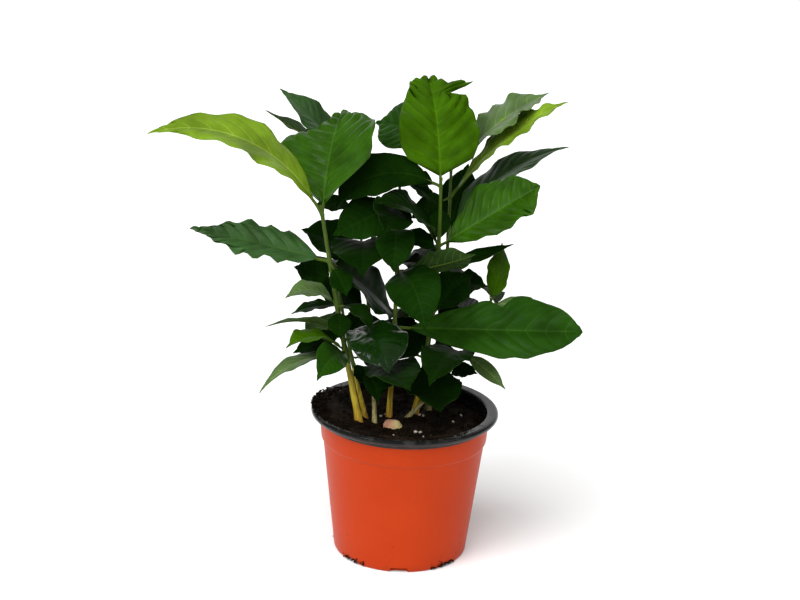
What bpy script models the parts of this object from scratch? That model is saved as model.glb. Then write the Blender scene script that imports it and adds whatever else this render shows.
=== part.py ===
"""A young coffee plant: seven seedlings growing together in a 12 cm nursery pot.

Metres, +Z up. The origin is the middle of the pot's flat underside, +X is to the right and +Y away
from the side that the leaves lean out over. Every seedling is one leaning stem with pairs of opposite
leaves. It is cut into a bare stem and one or two leafy shoots, each a solid of its own.
"""

import math
import random
from collections import namedtuple

import bmesh
import bpy
import numpy as np
from mathutils import Matrix, Vector
from mathutils.bvhtree import BVHTree

GAP = 0.0003  # between pieces that touch

# Pot
POT_HEIGHT = 0.095
RIM_RADIUS = 0.0593
RIM_HEIGHT = 0.0075
RIM_ROLL = 0.0028
ROLL_FROM, ROLL_TO, ROLL_STEPS = 100, -90, 6  # degrees round the roll, from its inner side
RIM_DIP = 0.0006
RIM_LIP = 0.0011
WALL = 0.0012
NECK_RADIUS = 0.0535
SHOULDER_RADIUS = 0.0512
SHOULDER_Z = 0.074
SHOULDER_STEP = 0.0011
FOOT_RADIUS = 0.0426
FOOT_BEVEL = 0.0012
FLOOR = 0.002
NOTCHES = 8
FIRST_NOTCH = 0.0  # of the angle between notches, from +X
NOTCH_SIZE = (0.006, 0.011, 0.006)  # through the wall, along it, and up
ROUND_STEPS = 40

# Soil
SOIL_TOP = 0.085
SOIL_EDGE = 0.0015  # the surface's bevel at the wall
STONE_PLACE = (-0.007, -0.0145)
STONE_SIZE = (0.0062, 0.0046, 0.0040)
STONE_UNDER = 0.0012
STONE_ROUGHNESS = 0.08

# Stems
STEM_SIDES = 7
FLARE_HEIGHT = 0.007
FLARE_SHARE = 0.55  # how much wider a stem is at the soil than above its flare
NODE_SWELL = 0.18
NODE_REACH = 0.004
STEM_STEP = 0.010
TAPER = 0.5
BELOW_NODE = 0.0065  # a leafy shoot begins this far below its first node

# Leaves
PETIOLE_SHARE = 0.085  # of the leaf's length
PETIOLE_LEAST = 0.0055
PETIOLE_RADIUS = 0.0011
PETIOLE_ROOT = 0.0006  # how far it begins beyond the stem's middle line
LEAF_THICKNESS = 0.015  # of the leaf's length, at the midrib
LEAF_THINNING = 0.3  # how much of that is lost at the tip
LEAF_WIDTH = 0.46  # of the leaf's length
LEAF_FOLD = 15.0  # degrees that each half rises from the midrib
TAIL_WIDTH = 0.16  # of the drip tip where it begins, beside the widest place
RIPPLE, RIPPLE_TURN = 0.10, 900  # of the half width, and degrees from base to tip
MIDRIB_STEPS = 60
BLADE_STATIONS = (0.0, 0.09, 0.25, 0.45, 0.65, 0.82, 0.93)
# Across and up, in half widths and thicknesses, over the top from left to right and back below
LEAF_SECTION = ((-1, 0), (-0.5, 0.42), (0, 0.5), (0.5, 0.42), (1, 0), (0.5, -0.42), (0, -0.5), (-0.5, -0.42))
LEAF_CLEAR = 0.0007  # kept free on both faces of each blade
TRIES = 100

SEED = 11

# Heights are above the pot's underside. Every node carries two leaves, sides 0 and 1.
Seedling = namedtuple("Seedling", "name foot top bow radius nodes split turn")
SEEDLINGS = (
    Seedling("left", (-0.0277, -0.0124), (-0.0550, -0.0070, 0.2215), (-0.0008, 0.0), 0.0021,
             (0.133, 0.162, 0.190, 0.219), 2, 190),
    Seedling("twin", (-0.0240, -0.0040), (-0.0455, 0.0040, 0.178), (-0.0010, 0.0), 0.0015,
             (0.126, 0.142, 0.159, 0.175), 4, 200),
    Seedling("slender", (-0.0185, -0.0105), (-0.0420, 0.0560, 0.243), (0.0030, 0.0060), 0.0013,
             (0.120, 0.150, 0.183, 0.212, 0.240), 3, 240),
    Seedling("middle", (-0.0100, 0.0020), (-0.0085, 0.0120, 0.242), (0.0010, -0.0040), 0.0017,
             (0.120, 0.146, 0.182, 0.209, 0.225, 0.239), 3, 170),
    Seedling("low", (0.0010, 0.0030), (0.0515, 0.0160, 0.161), (0.0060, 0.0), 0.0015,
             (0.112, 0.128, 0.144, 0.159), 4, 150),
    Seedling("tall", (0.0062, 0.0085), (0.0165, 0.0060, 0.238), (0.0040, 0.0), 0.0020,
             (0.124, 0.152, 0.183, 0.198, 0.236), 3, 345),
    Seedling("back", (0.0150, 0.0180), (0.0230, 0.0300, 0.245), (0.0030, 0.0), 0.0017,
             (0.130, 0.165, 0.200, 0.224, 0.242), 2, 30),
)

# Leaves that stand out, as (seedling, node, side), in the order in which they take their room.
# The others follow the rule in leaf_growth.
STEER = {
    ("left", 3, 0): dict(heading=198, rise=61, curl=76, length=0.127, width=0.034, tilt=36),
    ("left", 3, 1): dict(heading=82, rise=68, curl=59, length=0.081, width=0.073, tilt=13, twist=-26,
                         belly=0.99, full=1.14, tail=0.952),
    ("left", 2, 0): dict(heading=172, rise=11, curl=4, length=0.089, width=0.029, tilt=22),
    ("tall", 4, 0): dict(heading=100, rise=72, curl=57, length=0.082, width=0.049, tilt=13, twist=-1,
                         belly=0.66, full=0.61, tail=0.989),
    ("tall", 3, 1): dict(heading=357, rise=35, curl=1, length=0.073, width=0.043, tilt=36, twist=1,
                         belly=1.3, full=0.65, tail=0.975),
    ("middle", 1, 1): dict(heading=350, rise=4, curl=0, length=0.117, width=0.042, tilt=48, twist=0,
                           belly=1.45, full=0.6, tail=0.985),
    ("tall", 4, 1): dict(heading=184, rise=30, curl=95, length=0.074, width=0.030, tilt=42, twist=-1,
                         belly=1.2),
    ("back", 2, 1): dict(heading=18, rise=57, curl=49, length=0.098, width=0.030, tilt=3, twist=4,
                         belly=0.9),
    ("back", 4, 1): dict(heading=16, rise=49, curl=26, length=0.078, width=0.041, tilt=6, twist=-3,
                         belly=1.6),
    ("back", 3, 1): dict(heading=353, rise=59, curl=34, length=0.098, width=0.029, tilt=20, twist=0,
                         belly=1.6),
    ("back", 4, 0): dict(heading=132, rise=34, curl=47, length=0.077, width=0.033, tilt=58, twist=-14,
                         belly=1.8),
    ("middle", 2, 1): dict(heading=291, rise=12, curl=80, length=0.060, width=0.033, tilt=20, twist=14),
    ("twin", 1, 1): dict(heading=305, rise=31, curl=101, length=0.057, width=0.039, tilt=15, twist=0,
                         belly=1.49),
    ("tall", 3, 0): dict(heading=215, rise=64, curl=63, length=0.064, width=0.030, tilt=41, twist=8),
    ("middle", 4, 0): dict(heading=260, rise=-2, curl=18, length=0.047, width=0.027, tilt=27, twist=-25),
    ("middle", 4, 1): dict(heading=204, rise=-24, curl=-2, length=0.047, width=0.029, tilt=47, twist=-1),
    ("slender", 2, 0): dict(heading=283, rise=50, curl=100, length=0.071, width=0.042, tilt=27, twist=6,
                            belly=1.6),
    ("left", 2, 1): dict(heading=37, rise=-40, curl=19, length=0.075, width=0.054, tilt=57, twist=0,
                         belly=0.97, full=0.82, tail=0.985),
    ("twin", 3, 1): dict(heading=86, rise=24, curl=50, length=0.044, width=0.027),
    ("middle", 3, 1): dict(heading=265, rise=16, curl=124, length=0.040, width=0.024, tilt=15, twist=2),
    ("slender", 4, 1): dict(heading=165, rise=23, curl=-5, length=0.063, width=0.020, tilt=-4, twist=32),
    ("slender", 4, 0): dict(heading=190, rise=52, curl=10, length=0.064, width=0.026, tilt=19, twist=-15),
    ("tall", 1, 1): dict(heading=20, rise=60, curl=34, length=0.037, width=0.027, tilt=34, twist=0,
                         belly=1.25),
    ("middle", 2, 0): dict(heading=338, rise=13, curl=-14, length=0.054, width=0.026, tilt=-23, twist=-22,
                           belly=1.6),
    ("slender", 0, 0): dict(heading=291, rise=16, curl=25, length=0.068, width=0.033, tilt=25, twist=0,
                            belly=1.25),
    ("slender", 2, 1): dict(heading=190, rise=24, curl=3, length=0.043, width=0.031, tilt=30, twist=-8),
    ("twin", 0, 1): dict(heading=5, rise=-12, curl=20, length=0.022, width=0.014),
    ("middle", 5, 1): dict(heading=0, rise=-20, curl=30, length=0.027, width=0.014, tilt=20),
    ("back", 3, 0): dict(heading=235, rise=-2, curl=7, length=0.035, width=0.022, tilt=60, twist=-40),
    ("slender", 3, 1): dict(heading=299, rise=42, curl=124, length=0.024, width=0.014, tilt=22, twist=10),
    ("middle", 5, 0): dict(heading=100, rise=5, curl=50, length=0.060),
    ("slender", 3, 0): dict(heading=190, rise=10, curl=20, length=0.027, width=0.014, tilt=30),
    ("slender", 0, 1): dict(heading=279, rise=-10, curl=44, length=0.034, width=0.015, tilt=16, twist=4),
    ("tall", 2, 0): dict(heading=95, rise=22, curl=15, length=0.040, width=0.026),
    ("middle", 3, 0): dict(heading=110, rise=-5, curl=40, length=0.055),
    ("low", 3, 0): dict(heading=15, rise=70, curl=-25, length=0.041, width=0.018),
    ("low", 3, 1): dict(heading=338, rise=17, curl=62, length=0.041, width=0.016, tilt=37, twist=0,
                        belly=1.1),
    ("low", 1, 1): dict(heading=312, rise=-9, curl=20, length=0.041, width=0.010, tilt=40, twist=20),
    ("tall", 0, 0): dict(heading=282, rise=-32, curl=-24, length=0.050, width=0.036, tilt=3, twist=-2),
    ("left", 1, 0): dict(heading=190, rise=60, curl=90, length=0.040, width=0.018, tilt=12),
    ("twin", 1, 0): dict(heading=203, rise=30, curl=46, length=0.055, width=0.012, tilt=0, twist=30),
    ("left", 0, 0): dict(heading=207, rise=50, curl=88, length=0.045, width=0.024, tilt=14, twist=14,
                         belly=1.3),
    ("left", 0, 1): dict(heading=252, rise=20, curl=51, length=0.050, width=0.020, tilt=34, twist=-29),
    ("twin", 3, 0): dict(heading=174, rise=18, curl=10, length=0.028, width=0.023, tilt=45),
    ("twin", 2, 0): dict(heading=186, rise=3, curl=30, length=0.032, width=0.014, tilt=12),
    ("twin", 0, 0): dict(heading=198, rise=14, curl=71, length=0.066, width=0.016, tilt=10),
    ("left", 1, 1): dict(heading=350, rise=20, curl=90, length=0.036),
    ("tall", 2, 1): dict(heading=5, rise=20, curl=0, length=0.050, width=0.010),
    ("back", 1, 1): dict(heading=350, rise=28, curl=40, length=0.028, width=0.022),
    ("twin", 2, 1): dict(heading=127, rise=-50, curl=3, length=0.042, width=0.026, tilt=-23, twist=17,
                         belly=1.9),
    ("low", 0, 1): dict(heading=350, rise=45, curl=60, length=0.023, width=0.013),
    ("low", 0, 0): dict(heading=120, rise=20, curl=60, length=0.045),
    ("back", 2, 0): dict(heading=75, rise=50, curl=10, length=0.055, width=0.024),
    ("back", 0, 1): dict(heading=100, rise=10, curl=60, length=0.070),
    ("back", 1, 0): dict(heading=55, rise=5, curl=60, length=0.075),
    ("tall", 1, 0): dict(heading=112, rise=5, curl=60, length=0.070),
    ("low", 2, 0): dict(heading=70, rise=10, curl=60, length=0.050),
    ("slender", 1, 0): dict(heading=170, rise=30, curl=20, length=0.040, width=0.026),
    ("middle", 0, 1): dict(heading=72, rise=42, curl=30, length=0.045, width=0.034),
    ("middle", 0, 0): dict(heading=110, rise=5, curl=60, length=0.045),
    ("middle", 1, 0): dict(heading=85, rise=8, curl=20, length=0.046, width=0.036),
    ("slender", 1, 1): dict(heading=205, rise=-28, curl=15, length=0.032, width=0.022, tilt=20),
}

Leaf = namedtuple(
    "Leaf", "seedling node side heading rise curl length width belly full tail tilt twist wave"
)


def material(name, colour, roughness):
    made = bpy.data.materials.new(name)
    made.use_nodes = True
    shader = made.node_tree.nodes["Principled BSDF"]
    shader.inputs["Base Color"].default_value = (*colour, 1.0)
    shader.inputs["Roughness"].default_value = roughness
    return made


def add_object(mesh, collection, surface=None):
    """An object of the mesh's own name, in the collection and of the one material."""
    made = bpy.data.objects.new(mesh.name, mesh)
    collection.objects.link(made)
    if surface:
        mesh.materials.append(surface)
    return made


def mesh_from(bm, name):
    bmesh.ops.recalc_face_normals(bm, faces=bm.faces)
    mesh = bpy.data.meshes.new(name)
    bm.to_mesh(mesh)
    bm.free()
    return mesh


def turned(name, profile, collection, surface):
    """A closed profile of (radius, height) turned about +Z. It runs down the outer side, top to bottom."""
    mesh = bpy.data.meshes.new(name)
    edges = [(i, (i + 1) % len(profile)) for i in range(len(profile))]
    mesh.from_pydata([(radius, 0.0, z) for radius, z in profile], edges, [])
    made = add_object(mesh, collection, surface)
    screw = made.modifiers.new("Turn", "SCREW")
    screw.steps = screw.render_steps = ROUND_STEPS
    screw.use_merge_vertices = True
    screw.merge_threshold = 0.00001
    return made


# Stems

def stem_point(seedling, z):
    """Where the seedling's stem passes height z: on a line from foot to top, bowed in the middle."""
    foot, top = Vector((*seedling.foot, SOIL_TOP)), Vector(seedling.top)
    t = (z - SOIL_TOP) / (top.z - SOIL_TOP)
    return foot.lerp(top, t) + Vector((*seedling.bow, 0.0)) * (4 * t * (1 - t))


def stem_radius(seedling, z):
    """Tapers to half at the tip, swells at each node and flares at the soil."""
    t = (z - SOIL_TOP) / (seedling.top[2] - SOIL_TOP)
    swell = sum(math.exp(-(((z - node) / NODE_REACH) ** 2)) for node in seedling.nodes)
    flare = math.exp(-max(z - SOIL_TOP, 0.0) / FLARE_HEIGHT)
    widening = 1 + NODE_SWELL * min(swell, 1.0) + FLARE_SHARE * flare
    return seedling.radius * (1 - TAPER * t) * widening


def stem_mesh(seedling, low, high, name):
    """The stem from height low to height high, cut level at both ends."""
    steps = max(2, round((high - low) / STEM_STEP))
    bm = bmesh.new()
    rings = []
    for i in range(steps + 1):
        z = low + (high - low) * i / steps
        place = Matrix.Translation(stem_point(seedling, z))
        ring = bmesh.ops.create_circle(bm, segments=STEM_SIDES, radius=stem_radius(seedling, z), matrix=place)
        rings.append(ring["verts"])
    for lower, upper in zip(rings, rings[1:]):
        for k in range(STEM_SIDES):
            after = (k + 1) % STEM_SIDES
            bm.faces.new((lower[k], lower[after], upper[after], upper[k]))
    bm.faces.new(rings[0])
    bm.faces.new(rings[-1])
    return mesh_from(bm, name)


# Leaves

def leaf_growth(seedling, node, side):
    """The leaf of one node and side: pairs turn by a right angle up the stem, low leaves are older,
    smaller and hang, and the highest are the largest and stand up."""
    rng = random.Random(f"{SEED} {seedling.name} {node} {side}")
    share = node / (len(seedling.nodes) - 1)
    leaf = dict(
        heading=seedling.turn + 90 * node + 180 * side + rng.uniform(-14, 14),
        rise=5 + 45 * share + rng.uniform(-10, 10),
        curl=70 - 15 * share + rng.uniform(-15, 15),
        length=0.058 + 0.034 * share + rng.uniform(-0.006, 0.006),
        width=0.0,
        belly=0.95,
        full=0.7,
        tail=0.92,
        tilt=30 + rng.uniform(-8, 8),
        twist=rng.uniform(-8, 8),
        wave=rng.uniform(0, 360),
    )
    leaf.update(STEER.get((seedling.name, node, side), {}))
    leaf["width"] = leaf["width"] or LEAF_WIDTH * leaf["length"]
    return Leaf(seedling.name, node, side, **leaf)


def varied(leaf, attempt):
    """The leaf a little turned, lifted and shortened, more so with each attempt."""
    if attempt == 0:
        return leaf
    rng = random.Random(f"{SEED} again {leaf.seedling} {leaf.node} {leaf.side} {attempt}")
    swing = min(3 + 0.6 * attempt, 50)
    shrink = 1 - 0.003 * attempt
    return leaf._replace(
        heading=leaf.heading + rng.uniform(-swing, swing),
        rise=leaf.rise + rng.uniform(-0.5, 0.5) * swing,
        curl=leaf.curl + rng.uniform(-0.5, 0.5) * swing,
        twist=leaf.twist + rng.uniform(-0.4, 0.4) * swing,
        length=leaf.length * shrink,
        width=leaf.width * shrink,
    )


def petiole_share(leaf):
    return max(PETIOLE_SHARE, PETIOLE_LEAST / leaf.length)


def half_width(leaf, t):
    """Half the blade's width at share t of its length: a wedge base, full middle and narrow tail."""
    body = tail = 0.0
    if t < leaf.tail:
        body = math.sin(math.pi * (t / leaf.tail) ** leaf.belly) ** leaf.full
    if t > leaf.tail * 0.9:
        tail = min(TAIL_WIDTH, TAIL_WIDTH * (1 - t) / (1 - leaf.tail))
    return 0.5 * leaf.width * max(body, tail)


def leaf_frames(leaf, base, stations):
    """Places and (across, up) directions along the midrib, stations being shares of the length."""
    heading = math.radians(leaf.heading)
    ahead = Vector((math.cos(heading), math.sin(heading), 0.0))
    level = Vector((math.sin(heading), -math.cos(heading), 0.0))
    places, tangents = [base.copy()], []
    for i in range(MIDRIB_STEPS):
        lift = math.radians(leaf.rise - leaf.curl * ((i + 0.5) / MIDRIB_STEPS) ** 1.2)
        tangents.append(ahead * math.cos(lift) + Vector((0.0, 0.0, math.sin(lift))))
        places.append(places[-1] + tangents[-1] * (leaf.length / MIDRIB_STEPS))
    frames = []
    for s in stations:
        at = min(max(s, 0.0), 1.0) * MIDRIB_STEPS
        low = min(int(at), MIDRIB_STEPS - 1)
        tangent = tangents[low]
        place = places[low].lerp(places[low + 1], at - low) + tangent * (min(s, 0.0) * leaf.length)
        roll = (leaf.tilt * math.cos(heading) + leaf.twist) * min(max(s * 5, 0), 1)
        across = Matrix.Rotation(math.radians(roll), 3, tangent) @ level
        frames.append((place, across, across.cross(tangent)))
    return frames


def leaf_rings(leaf, base, extra, blade_only):
    """The leaf's cross-sections, from inside the stem to the tail, and its tip."""
    petiole = petiole_share(leaf)
    stations = [] if blade_only else [-PETIOLE_ROOT / leaf.length, petiole * 0.6]
    petioles = len(stations)
    stations += [petiole + (1 - petiole) * t for t in BLADE_STATIONS]
    rings = []
    for i, (place, across, up) in enumerate(leaf_frames(leaf, base, stations)):
        t = (stations[i] - petiole) / (1 - petiole)
        opening = max(t, 0.0)
        thick = LEAF_THICKNESS * leaf.length * (1 - LEAF_THINNING * opening)
        if i < petioles:
            wide, thick = PETIOLE_RADIUS, max(thick, 1.6 * PETIOLE_RADIUS)
        else:
            wide = max(half_width(leaf, t), PETIOLE_RADIUS * 0.9 * (1 - t))
        wide += 0.5 * extra
        fold = math.tan(math.radians(LEAF_FOLD)) * min(opening * 6, 1.0)
        ring = []
        for x, lift in LEAF_SECTION:
            ripple = RIPPLE * math.sin(math.radians(leaf.wave + RIPPLE_TURN * t + math.copysign(60, x - 0.01)))
            height = wide * (fold * abs(x) * (1 - 0.3 * abs(x)) + ripple * x * x * min(opening * 4, 1.0))
            ring.append(place + across * (x * wide) + up * (height + lift * (thick + extra)))
        rings.append(ring)
    tip = leaf_frames(leaf, base, [1.0])[0][0]
    return rings, tip


def leaf_shell(leaf, base, extra=0.0, blade_only=False):
    """Vertices and triangles of the leaf's closed loft. extra thickens it, for testing its room."""
    rings, tip = leaf_rings(leaf, base, extra, blade_only)
    vertices = [point for ring in rings for point in ring] + [tip]
    count = len(LEAF_SECTION)
    faces = []
    for start in range(0, (len(rings) - 1) * count, count):
        for k in range(count):
            a, b = start + k, start + (k + 1) % count
            c, d = b + count, a + count
            faces += [(a, b, c), (a, c, d)] if k < count // 2 else [(a, b, d), (b, c, d)]
    last = (len(rings) - 1) * count
    faces += [(last + k, last + (k + 1) % count, len(vertices) - 1) for k in range(count)]
    faces += [(0, k + 1, k) for k in range(1, count - 1)]
    return vertices, faces


def box_of(vertices):
    points = np.array([tuple(v) for v in vertices])
    return points.min(0), points.max(0)


class Room:
    """What has its place already, and whether a leaf fits in beside it."""

    def __init__(self):
        self.taken = []

    def add(self, owner, vertices, faces):
        self.taken.append((owner, box_of(vertices), BVHTree.FromPolygons(vertices, faces)))

    def clear(self, vertices, faces, skip=()):
        low, high = box_of(vertices)
        tree = BVHTree.FromPolygons(vertices, faces)
        for owner, (other_low, other_high), other in self.taken:
            near = (low <= other_high).all() and (high >= other_low).all()
            if owner not in skip and near and tree.overlap(other):
                return False
        return True


def clear_of_pot(vertices):
    for v in vertices:
        radius = math.hypot(v.x, v.y)
        if radius < RIM_RADIUS - 0.009:
            lowest = SOIL_TOP + 0.003
        elif radius < RIM_RADIUS + 0.003:
            lowest = POT_HEIGHT + 0.002
        else:
            lowest = POT_HEIGHT - 0.004
        if v.z < lowest:
            return False
    return True


def fits(leaf, base, room):
    """The blade keeps clear of everything, and the petiole of all but its own stem and opposite leaf."""
    blade = leaf_shell(leaf, base, 2 * LEAF_CLEAR, blade_only=True)
    if not clear_of_pot(blade[0]) or not room.clear(*blade):
        return False
    own = [("stem", leaf.seedling), (leaf.seedling, leaf.node, 0), (leaf.seedling, leaf.node, 1)]
    return room.clear(*leaf_shell(leaf, base), skip=own)


def place_leaves():
    """Every leaf that finds room, steered ones first."""
    room = Room()
    bases = {}
    wanted = []
    for seedling in SEEDLINGS:
        guide = stem_mesh(seedling, SOIL_TOP + GAP, seedling.top[2], "guide")
        room.add(("stem", seedling.name), [v.co.copy() for v in guide.vertices],
                 [tuple(face.vertices) for face in guide.polygons])
        bpy.data.meshes.remove(guide)
        for node, z in enumerate(seedling.nodes):
            bases[seedling.name, node] = stem_point(seedling, z)
            wanted += [leaf_growth(seedling, node, side) for side in (0, 1)]
    order = list(STEER)
    wanted.sort(key=lambda leaf: order.index(leaf[:3]) if leaf[:3] in STEER else len(order))
    placed = []
    for first in wanted:
        base = bases[first.seedling, first.node]
        for attempt in range(TRIES):
            leaf = varied(first, attempt)
            if fits(leaf, base, room):
                room.add(leaf[:3], *leaf_shell(leaf, base))
                placed.append((leaf, base))
                break
    return placed


def leaf_mesh(leaf, base, name):
    mesh = bpy.data.meshes.new(name)
    vertices, faces = leaf_shell(leaf, base)
    mesh.from_pydata([tuple(v) for v in vertices], [], faces)
    return mesh


def fuse(body, parts):
    """Joins the objects in the collection parts to body by one union, and removes them."""
    union = body.modifiers.new("Leaves", "BOOLEAN")
    union.operation = "UNION"
    union.solver = "EXACT"
    union.operand_type = "COLLECTION"
    union.collection = parts
    bpy.context.view_layer.update()
    stem = body.data
    body.data = bpy.data.meshes.new_from_object(body.evaluated_get(bpy.context.evaluated_depsgraph_get()))
    body.modifiers.clear()
    bpy.data.meshes.remove(stem)
    body.data.name = body.name
    for part in list(parts.objects):
        bpy.data.objects.remove(part)
    bpy.data.collections.remove(parts)


def shoots_of(seedling):
    """Names and (low, high) heights of the seedling's leafy shoots, low end first."""
    first = seedling.nodes[0] - BELOW_NODE
    top = seedling.top[2]
    if seedling.split == len(seedling.nodes):
        return {"leaves": (first, top)}
    parting = seedling.nodes[seedling.split] - BELOW_NODE
    return {"lower_leaves": (first, parting), "upper_leaves": (parting, top)}


def build_plant(collection, bark, green):
    placed = place_leaves()
    for seedling in SEEDLINGS:
        bare_top = seedling.nodes[0] - BELOW_NODE
        bare = stem_mesh(seedling, SOIL_TOP + GAP, bare_top, f"{seedling.name}_stem")
        add_object(bare, collection, bark)
        for kind, (low, high) in shoots_of(seedling).items():
            shoot = add_object(stem_mesh(seedling, low + GAP, high, f"{seedling.name}_{kind}"), collection)
            parts = bpy.data.collections.new(f"{shoot.name}_parts")
            bpy.context.scene.collection.children.link(parts)
            for leaf, base in placed:
                if leaf.seedling == seedling.name and low < base.z < high:
                    add_object(leaf_mesh(leaf, base, f"{shoot.name}_{leaf.node}_{leaf.side}"), parts)
            fuse(shoot, parts)
            shoot.data.materials.append(green)


# Pot and what is in it

def cut_notches(wall, cutters):
    """Drainage notches through the wall, up from its lower edge."""
    bm = bmesh.new()
    size = Matrix.Diagonal((*NOTCH_SIZE, 1.0))
    for i in range(NOTCHES):
        turn = Matrix.Rotation(math.tau * (i + FIRST_NOTCH) / NOTCHES, 4, "Z")
        bmesh.ops.create_cube(bm, size=1.0, matrix=turn @ Matrix.Translation((FOOT_RADIUS, 0.0, 0.0)) @ size)
    cutter = add_object(mesh_from(bm, "notch_cutter"), cutters)
    cutter.hide_render = True
    cutter.display_type = "WIRE"
    cut = wall.modifiers.new("Notches", "BOOLEAN")
    cut.operation = "DIFFERENCE"
    cut.solver = "EXACT"
    cut.object = cutter


def build_pot(collection, cutters, shell):
    top = POT_HEIGHT - RIM_HEIGHT - GAP
    pot = turned("pot", [
        (NECK_RADIUS - WALL, top), (NECK_RADIUS, top),
        (SHOULDER_RADIUS + SHOULDER_STEP, SHOULDER_Z + SHOULDER_STEP), (SHOULDER_RADIUS, SHOULDER_Z),
        (FOOT_RADIUS, FOOT_BEVEL), (FOOT_RADIUS - FOOT_BEVEL, 0.0), (0.0, 0.0), (0.0, FLOOR),
        (FOOT_RADIUS - WALL, FLOOR), (SHOULDER_RADIUS - WALL, SHOULDER_Z),
    ], collection, shell)
    cut_notches(pot, cutters)


def build_rim(collection, black):
    """The rolled rim, which sits on the wall and hides its top edge."""
    middle = (RIM_RADIUS - RIM_ROLL, POT_HEIGHT - RIM_ROLL)
    roll = []
    for i in range(ROLL_STEPS + 1):
        angle = math.radians(ROLL_FROM + (ROLL_TO - ROLL_FROM) * i / ROLL_STEPS)
        roll.append((middle[0] + RIM_ROLL * math.cos(angle), middle[1] + RIM_ROLL * math.sin(angle)))
    inner = NECK_RADIUS - 2 * WALL
    low = POT_HEIGHT - RIM_HEIGHT
    turned("pot_rim", [
        (inner, POT_HEIGHT - RIM_DIP), *roll, (RIM_RADIUS - RIM_LIP, low),
        (NECK_RADIUS + GAP, low - RIM_LIP), (NECK_RADIUS + GAP, low), (inner, low),
    ], collection, black)


def build_soil(collection, earth):
    """Fills the pot to SOIL_TOP, the gap inside its wall and floor."""
    low = FLOOR + GAP
    inset = WALL + 2 * GAP
    turned("soil", [
        (0.0, SOIL_TOP), (NECK_RADIUS - inset - SOIL_EDGE, SOIL_TOP),
        (NECK_RADIUS - inset - 0.5 * SOIL_EDGE, SOIL_TOP - SOIL_EDGE), (SHOULDER_RADIUS - inset, SHOULDER_Z),
        (FOOT_RADIUS - inset, low), (0.0, low),
    ], collection, earth)


def build_stone(collection, tan):
    bm = bmesh.new()
    bmesh.ops.create_icosphere(bm, subdivisions=2, radius=1.0)
    rng = random.Random(SEED)
    for v in bm.verts:
        v.co *= 1 + rng.uniform(-STONE_ROUGHNESS, STONE_ROUGHNESS)
    bmesh.ops.scale(bm, verts=bm.verts, vec=STONE_SIZE)
    for v in bm.verts:
        v.co.z = max(v.co.z, -STONE_UNDER)
    bmesh.ops.translate(bm, verts=bm.verts, vec=(*STONE_PLACE, SOIL_TOP + GAP + STONE_UNDER))
    add_object(mesh_from(bm, "stone"), collection, tan)


def main():
    for old in list(bpy.data.objects):
        bpy.data.objects.remove(old, do_unlink=True)
    plant = bpy.data.collections.new("potted_coffee_plant")
    cutters = bpy.data.collections.new("cutters")
    for collection in (plant, cutters):
        bpy.context.scene.collection.children.link(collection)
    build_pot(plant, cutters, material("orange_plastic", (0.70, 0.13, 0.03), 0.42))
    build_rim(plant, material("black_plastic", (0.012, 0.012, 0.013), 0.35))
    build_soil(plant, material("peat", (0.018, 0.010, 0.007), 0.95))
    build_stone(plant, material("tan_stone", (0.45, 0.27, 0.14), 0.8))
    bark = material("stem_bark", (0.36, 0.27, 0.06), 0.6)
    green = material("coffee_leaf", (0.06, 0.20, 0.03), 0.35)
    build_plant(plant, bark, green)


main()
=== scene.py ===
# %% [markdown]
# # A young coffee plant in a nursery pot
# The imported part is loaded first, as a frame that never moves. Every piece below is made in that
# frame, in metres, with +Z up and the origin in the middle of the pot's underside.

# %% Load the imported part
import math
import random
from collections import namedtuple

import bpy
import numpy as np
from mathutils import Matrix, Vector, noise
from mathutils.bvhtree import BVHTree


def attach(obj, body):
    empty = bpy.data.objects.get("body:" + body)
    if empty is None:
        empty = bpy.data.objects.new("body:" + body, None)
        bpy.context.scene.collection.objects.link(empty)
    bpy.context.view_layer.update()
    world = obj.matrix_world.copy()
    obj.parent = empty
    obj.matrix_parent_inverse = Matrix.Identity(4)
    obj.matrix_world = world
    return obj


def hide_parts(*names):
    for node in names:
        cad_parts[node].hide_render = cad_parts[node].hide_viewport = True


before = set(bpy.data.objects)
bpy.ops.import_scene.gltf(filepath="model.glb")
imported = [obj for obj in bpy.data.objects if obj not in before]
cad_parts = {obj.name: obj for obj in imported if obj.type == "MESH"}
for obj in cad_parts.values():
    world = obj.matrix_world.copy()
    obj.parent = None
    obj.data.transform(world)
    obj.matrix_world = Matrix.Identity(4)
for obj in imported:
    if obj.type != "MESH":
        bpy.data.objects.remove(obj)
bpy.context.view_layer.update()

bpy.ops.object.select_all(action="DESELECT")

# %% [markdown]
# An operator acts on what is selected, so small helpers select exactly what the next step is for.
# A finished piece has its place in its mesh, rides on the body, and hides the CAD nodes that it
# stands for.


# %% Helpers for selecting and finishing
def work_on(*pieces):
    """Selects these pieces and nothing else. The first is the active one."""
    bpy.ops.object.select_all(action="DESELECT")
    for piece in pieces:
        piece.select_set(True)
    bpy.context.view_layer.objects.active = pieces[0]


def apply_place():
    """Moves the active piece's place, turn and size into its mesh."""
    bpy.ops.object.transform_apply(location=True, rotation=True, scale=True)


def edit(selected="SELECT"):
    """Enters edit mode with all of the mesh selected, or with DESELECT nothing."""
    bpy.ops.object.mode_set(mode="EDIT")
    bpy.ops.mesh.select_all(action=selected)


def edit_only(piece, kind, chosen):
    """Enters edit mode with only those faces or edges selected that chosen picks."""
    work_on(piece)
    edit("DESELECT")
    bpy.ops.mesh.select_mode(type=kind)
    bpy.ops.object.mode_set(mode="OBJECT")
    for part in piece.data.polygons if kind == "FACE" else piece.data.edges:
        part.select = chosen(part)
    bpy.ops.object.mode_set(mode="EDIT")


def apply_modifier(piece, kind, **settings):
    work_on(piece)
    modifier = piece.modifiers.new(kind, kind)
    for name, value in settings.items():
        setattr(modifier, name, value)
    bpy.ops.object.modifier_apply(modifier=modifier.name)


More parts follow.
